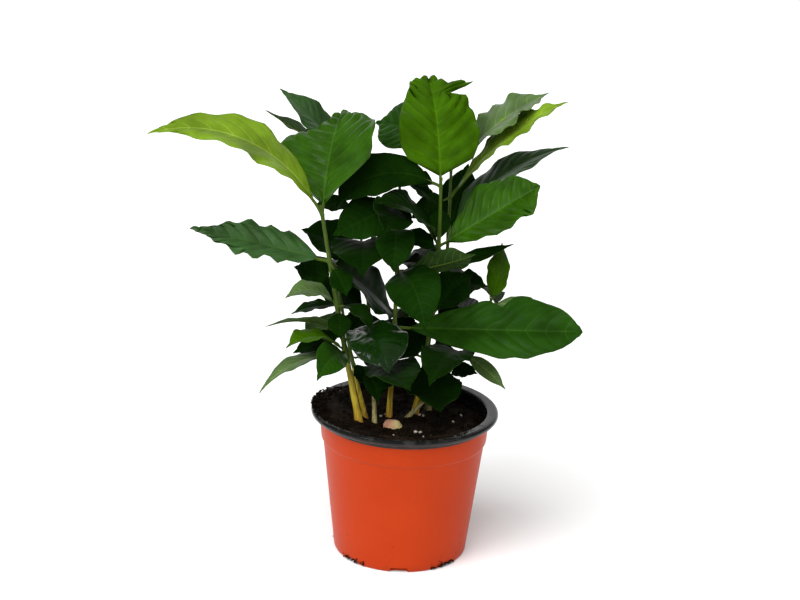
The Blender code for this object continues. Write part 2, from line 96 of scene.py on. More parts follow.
def points_of(piece):
    points = np.empty(len(piece.data.vertices) * 3)
    piece.data.vertices.foreach_get("co", points)
    return points.reshape(-1, 3)


def set_points(piece, points):
    piece.data.vertices.foreach_set("co", np.asarray(points, dtype=float).ravel())
    piece.data.update()


def finish_piece(piece, name, slot, *nodes):
    work_on(piece)
    apply_place()
    piece.name = piece.data.name = name
    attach(piece, "root")
    if nodes:
        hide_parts(*nodes)
    print(name, len(piece.data.polygons), "faces")


# %% [markdown]
# The camera looks slightly down along +Y, from a metre away, and is rolled by two degrees, as in
# the photograph.

# %% Camera
ELEVATION, ROLL = math.radians(17.25), math.radians(2.16)
TARGET = Vector((-0.0056, 0.0, 0.1647))

back = Vector((0.0, -math.cos(ELEVATION), math.sin(ELEVATION)))
level_side = Vector((1.0, 0.0, 0.0))
level_top = back.cross(level_side)
side = level_side * math.cos(ROLL) + level_top * math.sin(ROLL)
top = level_top * math.cos(ROLL) - level_side * math.sin(ROLL)
camera_data = bpy.data.cameras.new("camera")
camera_data.lens = 72.72
camera_data.sensor_width = 36.0
camera_data.clip_start = 0.05
camera = bpy.data.objects.new("camera", camera_data)
turn = Matrix((side, top, back)).transposed().to_4x4()
camera.matrix_world = Matrix.Translation(TARGET + back) @ turn
bpy.context.scene.collection.objects.link(camera)
bpy.context.scene.camera = camera
print("camera at", tuple(round(x, 3) for x in camera.location))

# %% [markdown]
# The photograph has a white ground and soft light from above the camera. One wide sun whitens the
# floor evenly. Soft boxes to the left and right leave the bright patches on glossy leaves and on
# the rim, and a wide one behind the plant puts the pale sheen on leaves that lean back.


# %% Floor and light
LIT_POINT = Vector((0.0, 0.0, 0.15))
# name, place, power in watts, width, height, and whether glossy surfaces mirror the box
SOFT_BOXES = (
    ("left_fill", (-0.9, -1.0, 0.7), 5.0, 0.5, 0.5, False),
    ("right_fill", (1.1, -0.9, 0.5), 5.0, 0.5, 0.5, False),
    ("left_box", (-0.9, -0.7, 1.3), 2.0, 0.16, 0.24, True),
    ("right_box", (1.1, -0.6, 1.2), 1.4, 0.16, 0.24, True),
    ("back_wall", (0.0, 2.2, 1.2), 24.0, 4.0, 2.4, True),
)


def add_light(name, kind, place, energy, mirrored, **settings):
    data = bpy.data.lights.new(name, kind)
    data.energy = energy
    for key, value in settings.items():
        setattr(data, key, value)
    light = bpy.data.objects.new(name, data)
    light.location = place
    light.rotation_euler = (Vector(place) - LIT_POINT).to_track_quat("Z", "Y").to_euler()
    light.visible_glossy = mirrored
    bpy.context.scene.collection.objects.link(light)


add_light("sky_light", "SUN", (-0.9, -1.3, 2.6), 4.0, False, angle=math.radians(70))
for name, place, energy, width, height, mirrored in SOFT_BOXES:
    add_light(name, "AREA", place, energy, mirrored,
              shape="RECTANGLE", size=width, size_y=height)

world = bpy.data.worlds.new("studio")
world.use_nodes = True
sky = world.node_tree.nodes["Background"].inputs
sky["Color"].default_value = (1.0, 1.0, 1.0, 1.0)
sky["Strength"].default_value = 0.12
bpy.context.scene.world = world
bpy.context.scene.view_settings.view_transform = "Standard"

bpy.ops.mesh.primitive_plane_add(size=16.0, location=(0.0, 0.0, -0.0002))
floor = bpy.context.object
floor.name = "floor"
floor_paint = bpy.data.materials.new("floor_paint")
floor_paint.use_nodes = True
paint = floor_paint.node_tree.nodes["Principled BSDF"].inputs
paint["Base Color"].default_value = (0.93, 0.93, 0.93, 1.0)
paint["Roughness"].default_value = 0.9
floor.data.materials.append(floor_paint)
print("lights and floor are in place")

# %% [markdown]
# Shader maths is easier to read as expressions than as a list of nodes and links. A Wire stands for
# one output socket. Adding or multiplying wires adds Math nodes, and every other node comes from
# its node method.


# %% Shader wiring
class Wire:
    """An output socket in a material's nodes."""

    def __init__(self, tree, socket=None):
        self.tree = tree
        self.socket = socket

    def node(self, kind, settings=None, inputs=None, output=0):
        made = self.tree.nodes.new(kind)
        for name, value in (settings or {}).items():
            setattr(made, name, value)
        for key, value in (inputs or {}).items():
            if isinstance(value, Wire):
                self.tree.links.new(value.socket, made.inputs[key])
            else:
                made.inputs[key].default_value = value
        return Wire(self.tree, made.outputs[output])

    def maths(self, operation, first, second):
        return self.node("ShaderNodeMath", {"operation": operation}, {0: first, 1: second})

    def __add__(self, other):
        return self.maths("ADD", self, other)

    __radd__ = __add__

    def __sub__(self, other):
        return self.maths("SUBTRACT", self, other)

    def __rsub__(self, other):
        return self.maths("SUBTRACT", other, self)

    def __mul__(self, other):
        return self.maths("MULTIPLY", self, other)

    __rmul__ = __mul__

    def noise(self, scale, detail=2.0, stretch=None):
        """Noise from 0 to 1 on the piece's own coordinates."""
        place = self.node("ShaderNodeTexCoord", output="Object")
        if stretch:
            factors = {0: place, 1: stretch}
            place = self.node("ShaderNodeVectorMath", {"operation": "MULTIPLY"}, factors)
        inputs = {"Vector": place, "Scale": scale, "Detail": detail}
        return self.node("ShaderNodeTexNoise", None, inputs)

    def along(self, axis):
        """How far a point lies along X, Y or Z, in metres."""
        place = self.node("ShaderNodeTexCoord", output="Object")
        return self.node("ShaderNodeSeparateXYZ", None, {0: place}, output=axis)

    def between(self, low, high):
        """0 where this wire is below low, 1 above high, and smooth in between."""
        settings = {"interpolation_type": "SMOOTHSTEP"}
        return self.node("ShaderNodeMapRange", settings, {0: self, 1: low, 2: high})

    def blend(self, first, second):
        """The first colour where this wire is 0, the second where it is 1."""
        colours = {0: self}
        for key, shade in ((6, first), (7, second)):
            colours[key] = shade if isinstance(shade, Wire) else (*shade, 1.0)
        return self.node("ShaderNodeMix", {"data_type": "RGBA"}, colours, output=2)

    def bump(self, strength, distance):
        inputs = {"Strength": strength, "Distance": distance, "Height": self}
        return self.node("ShaderNodeBump", None, inputs)


def socket_of(made, name):
    """An input of the finish's shader, by its name with _ for a space."""
    return made.node_tree.nodes["Principled BSDF"].inputs[name.replace("_", " ")]


def new_material(name, roughness, **constants):
    """A finish with these constants, and a bare wire to build its nodes from."""
    made = bpy.data.materials.new(name)
    made.use_nodes = True
    for key, value in {"Roughness": roughness, **constants}.items():
        socket_of(made, key).default_value = value
    return made, Wire(made.node_tree)


def feed(made, **wires):
    for key, wire in wires.items():
        made.node_tree.links.new(wire.socket, socket_of(made, key))


print("shader helpers are ready")

# %% [markdown]
# The pot is thin moulded plastic, orange outside and black inside. Its colour is a little uneven,
# and soil has left specks near the foot, so a coarse noise varies the colour and a fine one, which
# fades upwards, draws the specks.

# %% Pot finishes
orange, wire = new_material("orange_plastic", 0.36, Specular_IOR_Level=0.08)
cloudy = wire.noise(38.0, 3.0)
plain = cloudy.blend((0.36, 0.030, 0.003), (0.43, 0.038, 0.004))
near_foot = 1.0 - wire.along("Z").between(0.0, 0.03)
specks = (wire.noise(560.0, 1.0) + near_foot * 0.07).between(0.77, 0.82)
feed(orange,
     Base_Color=(specks * 0.75).blend(plain, (0.05, 0.022, 0.012)),
     Roughness=0.33 + cloudy * 0.10 + specks * 0.4,
     Normal=wire.noise(900.0, 2.0, (1.0, 1.0, 0.2)).bump(0.06, 0.0006))

black, wire = new_material("black_plastic", 0.34, Specular_IOR_Level=0.3)
dusty = wire.noise(160.0, 4.0).between(0.50, 0.72)
feed(black,
     Base_Color=dusty.blend((0.006, 0.006, 0.006), (0.022, 0.020, 0.018)),
     Roughness=0.24 + dusty * 0.25,
     Normal=wire.noise(1200.0, 2.0).bump(0.10, 0.0005))
print("made", orange.name, "and", black.name)

# %% [markdown]
# The pot's wall is one surface, so it is walked: a disc of the underside is extruded and resized
# from one ring of its outline to the next, up the outside, over the top and down the inside to the
# floor. A Boolean cuts the notches.

# %% Pot wall
POT_STEPS = 128
POT_OUTLINE = (
    (0.0380, 0.0000), (0.0412, 0.0000), (0.0421, 0.0003), (0.0426, 0.0012), (0.0430, 0.0050),
    (0.0469, 0.0380), (0.0510, 0.0728), (0.0512, 0.0738), (0.0516, 0.0744), (0.0522, 0.0750),
    (0.0524, 0.0758), (0.0534, 0.0868), (0.0537, 0.0912), (0.0527, 0.0916), (0.0523, 0.0868),
    (0.0511, 0.0752), (0.0500, 0.0740), (0.0457, 0.0380), (0.0414, 0.0022), (0.0300, 0.0020),
)


def walk_outline(start, outline, steps):
    """A disc of radius and height start, extruded through every further ring of the outline."""
    radius, height = start
    bpy.ops.mesh.primitive_circle_add(
        vertices=steps, radius=radius, fill_type="NGON", location=(0, 0, height)
    )
    made = bpy.context.object
    apply_place()
    edit()
    for next_radius, next_height in outline:
        step_up = {"value": (0, 0, next_height - height)}
        bpy.ops.mesh.extrude_region_move(TRANSFORM_OT_translate=step_up)
        share = next_radius / radius
        bpy.ops.transform.resize(value=(share, share, 1), center_override=(0, 0, 0))
        radius, height = next_radius, next_height
    bpy.ops.mesh.select_all(action="SELECT")
    bpy.ops.mesh.normals_make_consistent(inside=False)
    bpy.ops.object.mode_set(mode="OBJECT")
    return made


def copied(template, name):
    piece = template.copy()
    piece.data = template.data.copy()
    piece.name = piece.data.name = name
    bpy.context.scene.collection.objects.link(piece)
    return piece


pot = walk_outline((0.0376, 0.0007), POT_OUTLINE, POT_STEPS)

NOTCHES, NOTCH_RADIUS, NOTCH_SIZE = 8, 0.0426, (0.006, 0.011, 0.006)
bpy.ops.mesh.primitive_cube_add(size=1.0, location=(NOTCH_RADIUS, 0.0, 0.0))
cutter = bpy.context.object
cutter.scale = NOTCH_SIZE
apply_place()
apply_modifier(cutter, "BEVEL", width=0.0009, segments=3)
cutters = []
for i in range(NOTCHES):
    cutters.append(copied(cutter, "notch"))
    cutters[-1].data.transform(Matrix.Rotation(math.tau * i / NOTCHES, 4, "Z"))
bpy.data.objects.remove(cutter)
work_on(*cutters)
bpy.ops.object.join()
notches = bpy.context.object
apply_modifier(pot, "BOOLEAN", operation="DIFFERENCE", solver="EXACT", object=notches)
bpy.data.objects.remove(notches)

FOOT_TOP, FLOOR_TOP, EDGE_RADIUS = 0.0015, 0.003, 0.0532
pot.data.materials.append(orange)
pot.data.materials.append(black)
for face in pot.data.polygons:
    x, y, z = face.center
    inward = face.normal.x * x + face.normal.y * y < 0.0
    inside = z > FOOT_TOP and inward and math.hypot(x, y) < EDGE_RADIUS
    on_floor = face.normal.z > 0.9 and z < FLOOR_TOP
    face.material_index = 1 if inside or on_floor else 0
work_on(pot)
bpy.ops.object.shade_smooth_by_angle(angle=math.radians(32))
finish_piece(pot, "pot_wall", "orange_plastic", "pot")

# %% [markdown]
# The rim is the black edge of the inner layer, rolled over to the outside. Its section is a closed
# outline, and the spin operator turns it once round the pot.

# %% Rolled rim
RIM_RADIUS, POT_HEIGHT, ROLL_RADIUS = 0.0591, 0.0944, 0.0020
section = [
    (0.0519, 0.0870), (0.0518, 0.0905), (0.0519, 0.0928), (0.0522, 0.0936), (0.0529, 0.0940),
    (0.0545, 0.0939),
]
for i in range(11):
    angle = math.radians(95 - 19 * i)
    inward, down = 1 - math.cos(angle), 1 - math.sin(angle)
    section.append((RIM_RADIUS - ROLL_RADIUS * inward, POT_HEIGHT - ROLL_RADIUS * down))
section += [(0.0556, 0.0903), (0.0541, 0.0907), (0.0537, 0.0895), (0.0534, 0.0870)]

bpy.ops.mesh.primitive_circle_add(
    vertices=len(section), radius=0.003, rotation=(math.pi / 2, 0, 0)
)
rim = bpy.context.object
apply_place()
set_points(rim, [(radius, 0.0, z) for radius, z in section])
edit()
bpy.ops.mesh.spin(steps=POT_STEPS, angle=math.tau, center=(0, 0, 0), axis=(0, 0, 1))
bpy.ops.mesh.select_all(action="SELECT")
bpy.ops.mesh.remove_doubles(threshold=0.00002)
bpy.ops.mesh.normals_make_consistent(inside=False)
bpy.ops.object.mode_set(mode="OBJECT")
rim.data.materials.append(black)
bpy.ops.object.shade_smooth_by_angle(angle=math.radians(40))
finish_piece(rim, "rolled_rim", "black_plastic", "pot_rim")

# %% [markdown]
# Potting soil is dark, matt and crumbly. Damp patches vary its brown, single grains are paler, and
# a strong bump from the same grains keeps it rough. The white grit in it gets a finish of its own.

# %% Soil finishes
peat, wire = new_material("peat", 0.95, Specular_IOR_Level=0.15)
grains = wire.noise(520.0, 4.0)
damp = wire.noise(90.0, 2.0).between(0.35, 0.7)
dark_soil = damp.blend((0.004, 0.0024, 0.0012), (0.012, 0.007, 0.004))
feed(peat,
     Base_Color=grains.between(0.58, 0.75).blend(dark_soil, (0.030, 0.018, 0.011)),
     Roughness=0.98 - damp * 0.2,
     Normal=grains.bump(0.8, 0.0015))

grit, wire = new_material("grit", 0.8)
feed(grit, Base_Color=wire.noise(300.0, 2.0).blend((0.20, 0.15, 0.10), (0.62, 0.56, 0.46)),
     Normal=wire.noise(800.0, 2.0).bump(0.3, 0.0006))
print("made", peat.name, "and", grit.name)

# %% [markdown]
# The soil's surface lies low on the right, and on the left it is heaped against the rim and spills
# over it. The top of a disc is inset ring after ring to get points to move, and layered noise then
# lifts them into crumbs.

# %% Soil surface
SOIL_RADIUS, SOIL_RINGS, SOIL_STEPS = 0.0519, 40, 144
SOIL_LEVEL, HEAP_LEVEL, SURFACE_FROM = 0.0862, 0.0938, 0.0855
WALL_INSIDE, WALL_TOP = 0.0514, 0.0915
SPILL_START, SPILL_INNER, SPILL_OUTER, SPILL_RADIUS = 0.0485, 0.0480, 0.0506, 0.0562
SPILL_LOW, SPILL_HIGH = 0.0942, 0.0946


def smooth(value, low, high):
    """0 below low, 1 above high, and smooth in between, for a number or an array."""
    share = np.clip((value - low) / (high - low), 0.0, 1.0)
    return share * share * (3 - 2 * share)


def spill(x, y):
    """1 at the left and in front, where soil is heaped up to the rim, 0 at the right and behind."""
    angle = math.degrees(math.atan2(y, x)) % 360
    return smooth(angle, 125, 160) * (1 - smooth(angle, 300, 335))


def soil_level(x, y):
    """Height of the soil before its crumbs: heaped at the left, low at the right."""
    radius = math.hypot(x, y)
    left, right = 0.0082 * smooth(-x, 0.018, 0.050), 0.0022 * smooth(x, 0.0, 0.045)
    level = SOIL_LEVEL + left - right + 0.0008 * smooth(radius, 0.03, 0.05)
    bank = smooth(radius, 0.038, 0.0515) * spill(x, y)
    return level + max(HEAP_LEVEL - level, 0.0) * bank


def crumble(x, y):
    """The soil's height with its clods and crumbs."""
    clods = noise.noise(Vector((x, y, 0.3)) * 110) * 0.0011
    crumbs = abs(noise.noise(Vector((x, y, 1.7)) * 330)) * 0.0016
    grain = noise.noise(Vector((x, y, 4.1)) * 800) * 0.0005
    return soil_level(x, y) + clods + crumbs + grain


soil = walk_outline((0.0400, 0.0030), ((0.0509, 0.0760), (SOIL_RADIUS, 0.0860)), SOIL_STEPS)
edit_only(soil, "FACE", lambda face: face.normal.z > 0.9)
for i in range(SOIL_RINGS):
    bpy.ops.mesh.inset(thickness=SOIL_RADIUS / (SOIL_RINGS + 0.5))
bpy.ops.object.mode_set(mode="OBJECT")
points = points_of(soil)
for point in points:
    if point[2] > SURFACE_FROM:
        radius = math.hypot(point[0], point[1])
        point[2] = crumble(point[0], point[1])
        if radius > WALL_INSIDE:
            # the outermost ring stays inside the wall, and the next two spill over the rim
            point[2] = min(point[2], WALL_TOP)
        elif radius > SPILL_START:
            share = smooth(radius, SPILL_INNER, SPILL_OUTER) * spill(point[0], point[1])
            point[:2] *= 1 + share * (SPILL_RADIUS / SPILL_OUTER - 1)
            point[2] = max(min(point[2], SPILL_HIGH), SPILL_LOW * (share > 0.5))
set_points(soil, points)
soil.data.materials.append(peat)
bpy.ops.object.shade_smooth()
finish_piece(soil, "soil_body", "peat", "soil")


# %% [markdown]
# Loose crumbs lie on the soil, on the left part of the rim and along the foot of the pot. One rough
# lump of a few faces is modelled, and copied at seeded places, sizes and turns into one piece.

# %% Crumbs and grit
def rough_lump(seed, roughness):
    """An icosphere of a few faces with its corners moved in and out."""
    bpy.ops.mesh.primitive_ico_sphere_add(subdivisions=1, radius=1.0)
    lump = bpy.context.object
    rng = random.Random(seed)
    set_points(lump, [p * (1 + rng.uniform(-roughness, roughness)) for p in points_of(lump)])
    return lump


def scatter(lump, places, material, name, slot):
    """Copies of the lump, each a place, a size and a flatness, joined into one piece."""
    rng = random.Random(name)
    shape = points_of(lump)
    faces = np.array([face.vertices[:] for face in lump.data.polygons])
    corners, polygons = [], []
    for i, (place, size, flatness) in enumerate(places):
        about = Matrix.Rotation(rng.uniform(0, math.tau), 3, "Z")
        turn = np.array(about @ Matrix.Rotation(rng.uniform(-1, 1), 3, "X"))
        stretch = np.array((rng.uniform(0.7, 1.3), rng.uniform(0.7, 1.3), flatness)) * size
        corners.append((shape * stretch) @ turn.T + np.array(place))
        polygons.append(faces + i * len(shape))
    mesh = bpy.data.meshes.new(name)
    mesh.from_pydata(np.concatenate(corners).tolist(), [], np.concatenate(polygons).tolist())
    mesh.materials.append(material)
    piece = bpy.data.objects.new(name, mesh)
    bpy.context.scene.collection.objects.link(piece)
    bpy.data.objects.remove(lump)
    finish_piece(piece, name, slot)


def on_ring(radius, angle, height):
    return radius * math.cos(angle), radius * math.sin(angle), height


ON_SOIL, ON_RIM, ON_SPILL = 1100, 420, 300
SOIL_EDGE, RIM_TOP, FOOT_RADIUS, WALL_LEAN = 0.0508, 0.0951, 0.0424, 0.118
# First and last angle, and count, along the foot. The middle of the front stays clean.
FOOT_ARCS = ((214, 240, 46), (298, 324, 50), (20, 190, 60))

rng = random.Random(5)
places = []
for i in range(ON_SOIL):
    radius, angle = SOIL_EDGE * math.sqrt(rng.random()), rng.uniform(0, math.tau)
    x, y = on_ring(radius, angle, 0.0)[:2]
    size = rng.uniform(0.0003, 0.0008) * (2.2 if rng.random() < 0.08 else 1.0)
    places.append(((x, y, crumble(x, y) + 0.3 * size), size, rng.uniform(0.5, 0.9)))
for i in range(ON_RIM):
    angle = math.radians(rng.gauss(180, 15))
    spread = 1 - min(abs(math.degrees(angle) - 180) / 45, 1.0)
    radius = rng.uniform(0.0500, 0.0588)
    lift = 0.0022 * spread * (1 - smooth(radius, 0.0545, 0.0595)) * rng.random()
    size = rng.uniform(0.0004, 0.0012)
    places.append((on_ring(radius, angle, RIM_TOP + lift), size, rng.uniform(0.5, 0.9)))
for i in range(ON_SPILL):
    angle = math.radians(rng.uniform(150, 318))
    radius = rng.uniform(0.0515, 0.0568)
    size = rng.uniform(0.0003, 0.0008)
    height = POT_HEIGHT + 0.2 * size
    places.append((on_ring(radius, angle, height), size, rng.uniform(0.5, 0.8)))
for first, last, count in FOOT_ARCS:
    for i in range(count):
        angle = math.radians(rng.uniform(first, last))
        height = abs(rng.gauss(0, 0.0016))
        radius = FOOT_RADIUS + WALL_LEAN * height + rng.uniform(0.0, 0.0005)
        size = rng.uniform(0.00025, 0.0007)
        places.append((on_ring(radius, angle, height + 1.3 * size), size, 0.8))
scatter(rough_lump(3, 0.25), places, peat, "soil_crumbs", "peat")

# Pale bits, at the places where they show: x, y and size
GRIT = (
    (-0.0150, 0.0010, 0.0012), (-0.0125, 0.0060, 0.0009), (-0.0065, -0.0290, 0.0008),
    (0.0070, -0.0245, 0.0014), (0.0100, -0.0230, 0.0011), (0.0120, -0.0300, 0.0007),
    (0.0095, 0.0065, 0.0012), (0.0120, 0.0050, 0.0010), (0.0365, 0.0140, 0.0009),
    (-0.0500, 0.0080, 0.0010), (-0.0420, 0.0240, 0.0006), (0.0240, -0.0250, 0.0008),
    (0.0280, -0.0240, 0.0009), (0.0310, 0.0010, 0.0008),
)
places = [((x, y, crumble(x, y) + 0.4 * size), size, 0.7) for x, y, size in GRIT]
scatter(rough_lump(8, 0.2), places, grit, "grit_bits", "tan_stone")

# %% [markdown]
# One tan stone, or the dried shell of a seed, lies in front of the stems. It is an icosphere,
# dented by noise and flat below. It is orange-brown on the left, with a paler tan on the right that
# is a painted highlight, and dark dirt spots in a noise pattern.

# %% Stone
STONE_PLACE, STONE_SIZE = Vector((-0.0070, -0.0145, 0.0865)), Vector((0.0062, 0.0046, 0.0040))
STONE_BOTTOM, NOISE_AT = -0.0014, Vector((3.1, 0.4, 7.0))
shell, wire = new_material("tan_stone", 0.7)
mottled = wire.noise(230.0, 3.0)
# The paler tan on the right side is a painted highlight.
highlight_side = (wire.along("X") + mottled * 0.008).between(-0.006, 0.0)
tones_and_highlight = highlight_side.blend((0.42, 0.21, 0.13), (0.56, 0.45, 0.20))
feed(shell,
     Base_Color=mottled.between(0.55, 0.75).blend(tones_and_highlight, (0.12, 0.06, 0.03)),
     Normal=wire.noise(700.0, 3.0).bump(0.4, 0.0008))
bpy.ops.mesh.primitive_ico_sphere_add(subdivisions=4, radius=1.0)
stone = bpy.context.object
points = []
for p in points_of(stone):
    v = Vector(p)
    v = v * (1 + 0.28 * noise.noise(v * 1.3 + NOISE_AT) + 0.07 * noise.noise(v * 4))
    v = Vector(a * b for a, b in zip(v, STONE_SIZE))
    v.z = max(v.z, STONE_BOTTOM)
    points.append(v + STONE_PLACE)
set_points(stone, points)
stone.data.materials.append(shell)
bpy.ops.object.shade_smooth()
finish_piece(stone, "tan_stone_lump", "tan_stone", "stone")

# %% [markdown]
# Seven seedlings grow in the pot. Each is one leaning stem from its foot in the soil to its top,
# with a pair of leaves at every node. These are the same names and numbers that the solids were
# built from, so stems and leaves come out where the solids are. Heights are above the pot's
# underside.

# %% Seedlings
GAP = 0.0003
SOIL_TOP = 0.085
BELOW_NODE = 0.0065
Seedling = namedtuple("Seedling", "name foot top bow radius nodes split turn")
SEEDLINGS = (
    Seedling("left", (-0.0277, -0.0124), (-0.0550, -0.0070, 0.2215), (-0.0008, 0.0), 0.0021,
             (0.133, 0.162, 0.190, 0.219), 2, 190),
    Seedling("twin", (-0.0240, -0.0040), (-0.0455, 0.0040, 0.178), (-0.0010, 0.0), 0.0015,
             (0.126, 0.142, 0.159, 0.175), 4, 200),
    Seedling("slender", (-0.0185, -0.0105), (-0.0420, 0.0560, 0.243), (0.0030, 0.0060), 0.0013,
             (0.120, 0.150, 0.183, 0.212, 0.240), 3, 240),
    Seedling("middle", (-0.0100, 0.0020), (-0.0085, 0.0120, 0.242), (0.0010, -0.0040), 0.0017,
             (0.120, 0.146, 0.182, 0.209, 0.225, 0.239), 3, 170),
    Seedling("low", (0.0010, 0.0030), (0.0515, 0.0160, 0.161), (0.0060, 0.0), 0.0015,
             (0.112, 0.128, 0.144, 0.159), 4, 150),
    Seedling("tall", (0.0062, 0.0085), (0.0165, 0.0060, 0.238), (0.0040, 0.0), 0.0020,
             (0.124, 0.152, 0.183, 0.198, 0.236), 3, 345),
    Seedling("back", (0.0150, 0.0180), (0.0230, 0.0300, 0.245), (0.0030, 0.0), 0.0017,
             (0.130, 0.165, 0.200, 0.224, 0.242), 2, 30),
)

FLARE_HEIGHT, FLARE_SHARE = 0.007, 0.55
NODE_SWELL, NODE_REACH, TAPER = 0.18, 0.004, 0.5


def stem_point(seedling, z):
    """Where the stem passes height z: on a line from foot to top, bowed in the middle."""
    foot, top = Vector((*seedling.foot, SOIL_TOP)), Vector(seedling.top)
    t = (z - SOIL_TOP) / (top.z - SOIL_TOP)
    return foot.lerp(top, t) + Vector((*seedling.bow, 0.0)) * (4 * t * (1 - t))


def stem_radius(seedling, z):
    """Tapers to half at the tip, swells at each node and flares at the soil."""
    t = (z - SOIL_TOP) / (seedling.top[2] - SOIL_TOP)
    swell = sum(math.exp(-(((z - node) / NODE_REACH) ** 2)) for node in seedling.nodes)
    flare = math.exp(-max(z - SOIL_TOP, 0.0) / FLARE_HEIGHT)
    bulge = 1 + NODE_SWELL * min(swell, 1.0) + FLARE_SHARE * flare
    return seedling.radius * (1 - TAPER * t) * bulge


def shoots_of(seedling):
    """The seedling's leafy shoots by name, low end first, with the heights they span."""
    first, top = seedling.nodes[0] - BELOW_NODE, seedling.top[2]
    if seedling.split == len(seedling.nodes):
        return {"leaves": (first, top)}
    parting = seedling.nodes[seedling.split] - BELOW_NODE
    return {"lower_leaves": (first, parting), "upper_leaves": (parting, top)}


print(len(SEEDLINGS), "seedlings,", sum(len(s.nodes) for s in SEEDLINGS), "nodes")

# %% [markdown]
# Young stems are green at the top and turn to a thin yellow-tan bark near the soil. The colour
# therefore follows the height, with streaks of a noise that is stretched along the stem, and fine
# furrows from the same noise.

# %% Bark finishes
def bark_parts(wire, green_from):
    """Streaks along the stem, and a mask of old bark that starts to fade out at a height."""
    streaks = wire.noise(900.0, 3.0, (1.0, 1.0, 0.07))
    return streaks, 1.0 - (wire.along("Z") + streaks * 0.02).between(green_from, 0.150)


bark, wire = new_material("stem_bark", 0.55, Specular_IOR_Level=0.15)
streaks, aged = bark_parts(wire, 0.105)
fresh = streaks.blend((0.045, 0.085, 0.008), (0.12, 0.17, 0.02))
dry = streaks.between(0.3, 0.7).blend((0.28, 0.18, 0.014), (0.62, 0.46, 0.05))
ruddy = 1.0 - wire.along("Z").between(0.086, 0.096)
feed(bark,
     Base_Color=(ruddy * 0.6).blend(aged.blend(fresh, dry), (0.28, 0.10, 0.03)),
     Roughness=0.45 + streaks * 0.25,
     Normal=streaks.bump(0.5, 0.0006))

grey_bark, wire = new_material("grey_bark", 0.6, Specular_IOR_Level=0.15)
streaks, aged = bark_parts(wire, 0.110)
dry = streaks.between(0.3, 0.7).blend((0.16, 0.13, 0.05), (0.34, 0.30, 0.13))
feed(grey_bark, Base_Color=aged.blend((0.11, 0.17, 0.04), dry), Normal=streaks.bump(0.5, 0.0006))

green_shoot, wire = new_material("green_shoot", 0.42, Specular_IOR_Level=0.15)
feed(green_shoot,
     Base_Color=wire.noise(260.0, 3.0).blend((0.022, 0.050, 0.003), (0.065, 0.105, 0.010)),
     Normal=wire.noise(900.0, 2.0, (1.0, 1.0, 0.2)).bump(0.25, 0.0005))
print("made", bark.name, grey_bark.name, green_shoot.name)

# %% [markdown]
# All stems come from one tube. A cylinder is divided into rings, and each copy has its rings moved
# onto the line of a seedling and scaled to its radius. Thin collars mark the nodes, where the scars
# of the stipules are.

# %% Stems
TUBE_SIDES, TUBE_RINGS = 14, 60
COLLAR_ABOVE, COLLAR_REACH, COLLAR_SWELL, KNOB_SWELL = 0.001, 0.0009, 0.13, 0.07
bpy.ops.mesh.primitive_cylinder_add(
    vertices=TUBE_SIDES, radius=1.0, depth=1.0, end_fill_type="NGON", location=(0, 0, 0.5)
)
tube = bpy.context.object
apply_place()


def runs_along(edge):
    ends = [tube.data.vertices[i].co.z for i in edge.vertices]
    return max(ends) - min(ends) > 0.5


edit_only(tube, "EDGE", runs_along)
bpy.ops.mesh.subdivide(number_cuts=TUBE_RINGS - 1)
bpy.ops.object.mode_set(mode="OBJECT")
tube_points = points_of(tube)
print("tube:", len(tube_points), "points")


def shaped_stem(seedling, low, high, name):
    """A copy of the tube along the seedling's stem from height low to height high."""
    points = []
    for x, y, share in tube_points:
        z = low + (high - low) * share
        radius = stem_radius(seedling, z)
        collars = (((z - node - COLLAR_ABOVE) / COLLAR_REACH) ** 2 for node in seedling.nodes)
        collar = sum(math.exp(-away) for away in collars)
        at = Vector((x * 1.5, y * 1.5, z * 260)) + Vector(seedling.top) * 90
        radius *= 1 + COLLAR_SWELL * min(collar, 1.0) + KNOB_SWELL * noise.noise(at)
        points.append(stem_point(seedling, z) + Vector((x, y, 0.0)) * radius)
    piece = copied(tube, name)
    set_points(piece, points)
    return piece


GREY_STEMS = ("slender", "low", "back")
for seedling in SEEDLINGS:
    stem = shaped_stem(seedling, SOIL_TOP - 0.001, seedling.nodes[0] - BELOW_NODE, "stem")
    stem.data.materials.append(grey_bark if seedling.name in GREY_STEMS else bark)
    work_on(stem)
    bpy.ops.object.shade_smooth_by_angle(angle=math.radians(50))
    finish_piece(stem, f"{seedling.name}_stem_bark", "stem_bark", f"{seedling.name}_stem")

# %% [markdown]
# Leaves grow in opposite pairs, each pair a quarter turn on from the one below. Low leaves are
# small and hang, the highest are large and stand up. The leaves that stand out in the photograph
# are steered one by one, in the order in which they take their room, and a leaf that finds none is
# turned and shortened a little and tried again. A leaf's tag is its seedling, node and side, so
# left31 grows at the left seedling's node 3, on side 1.

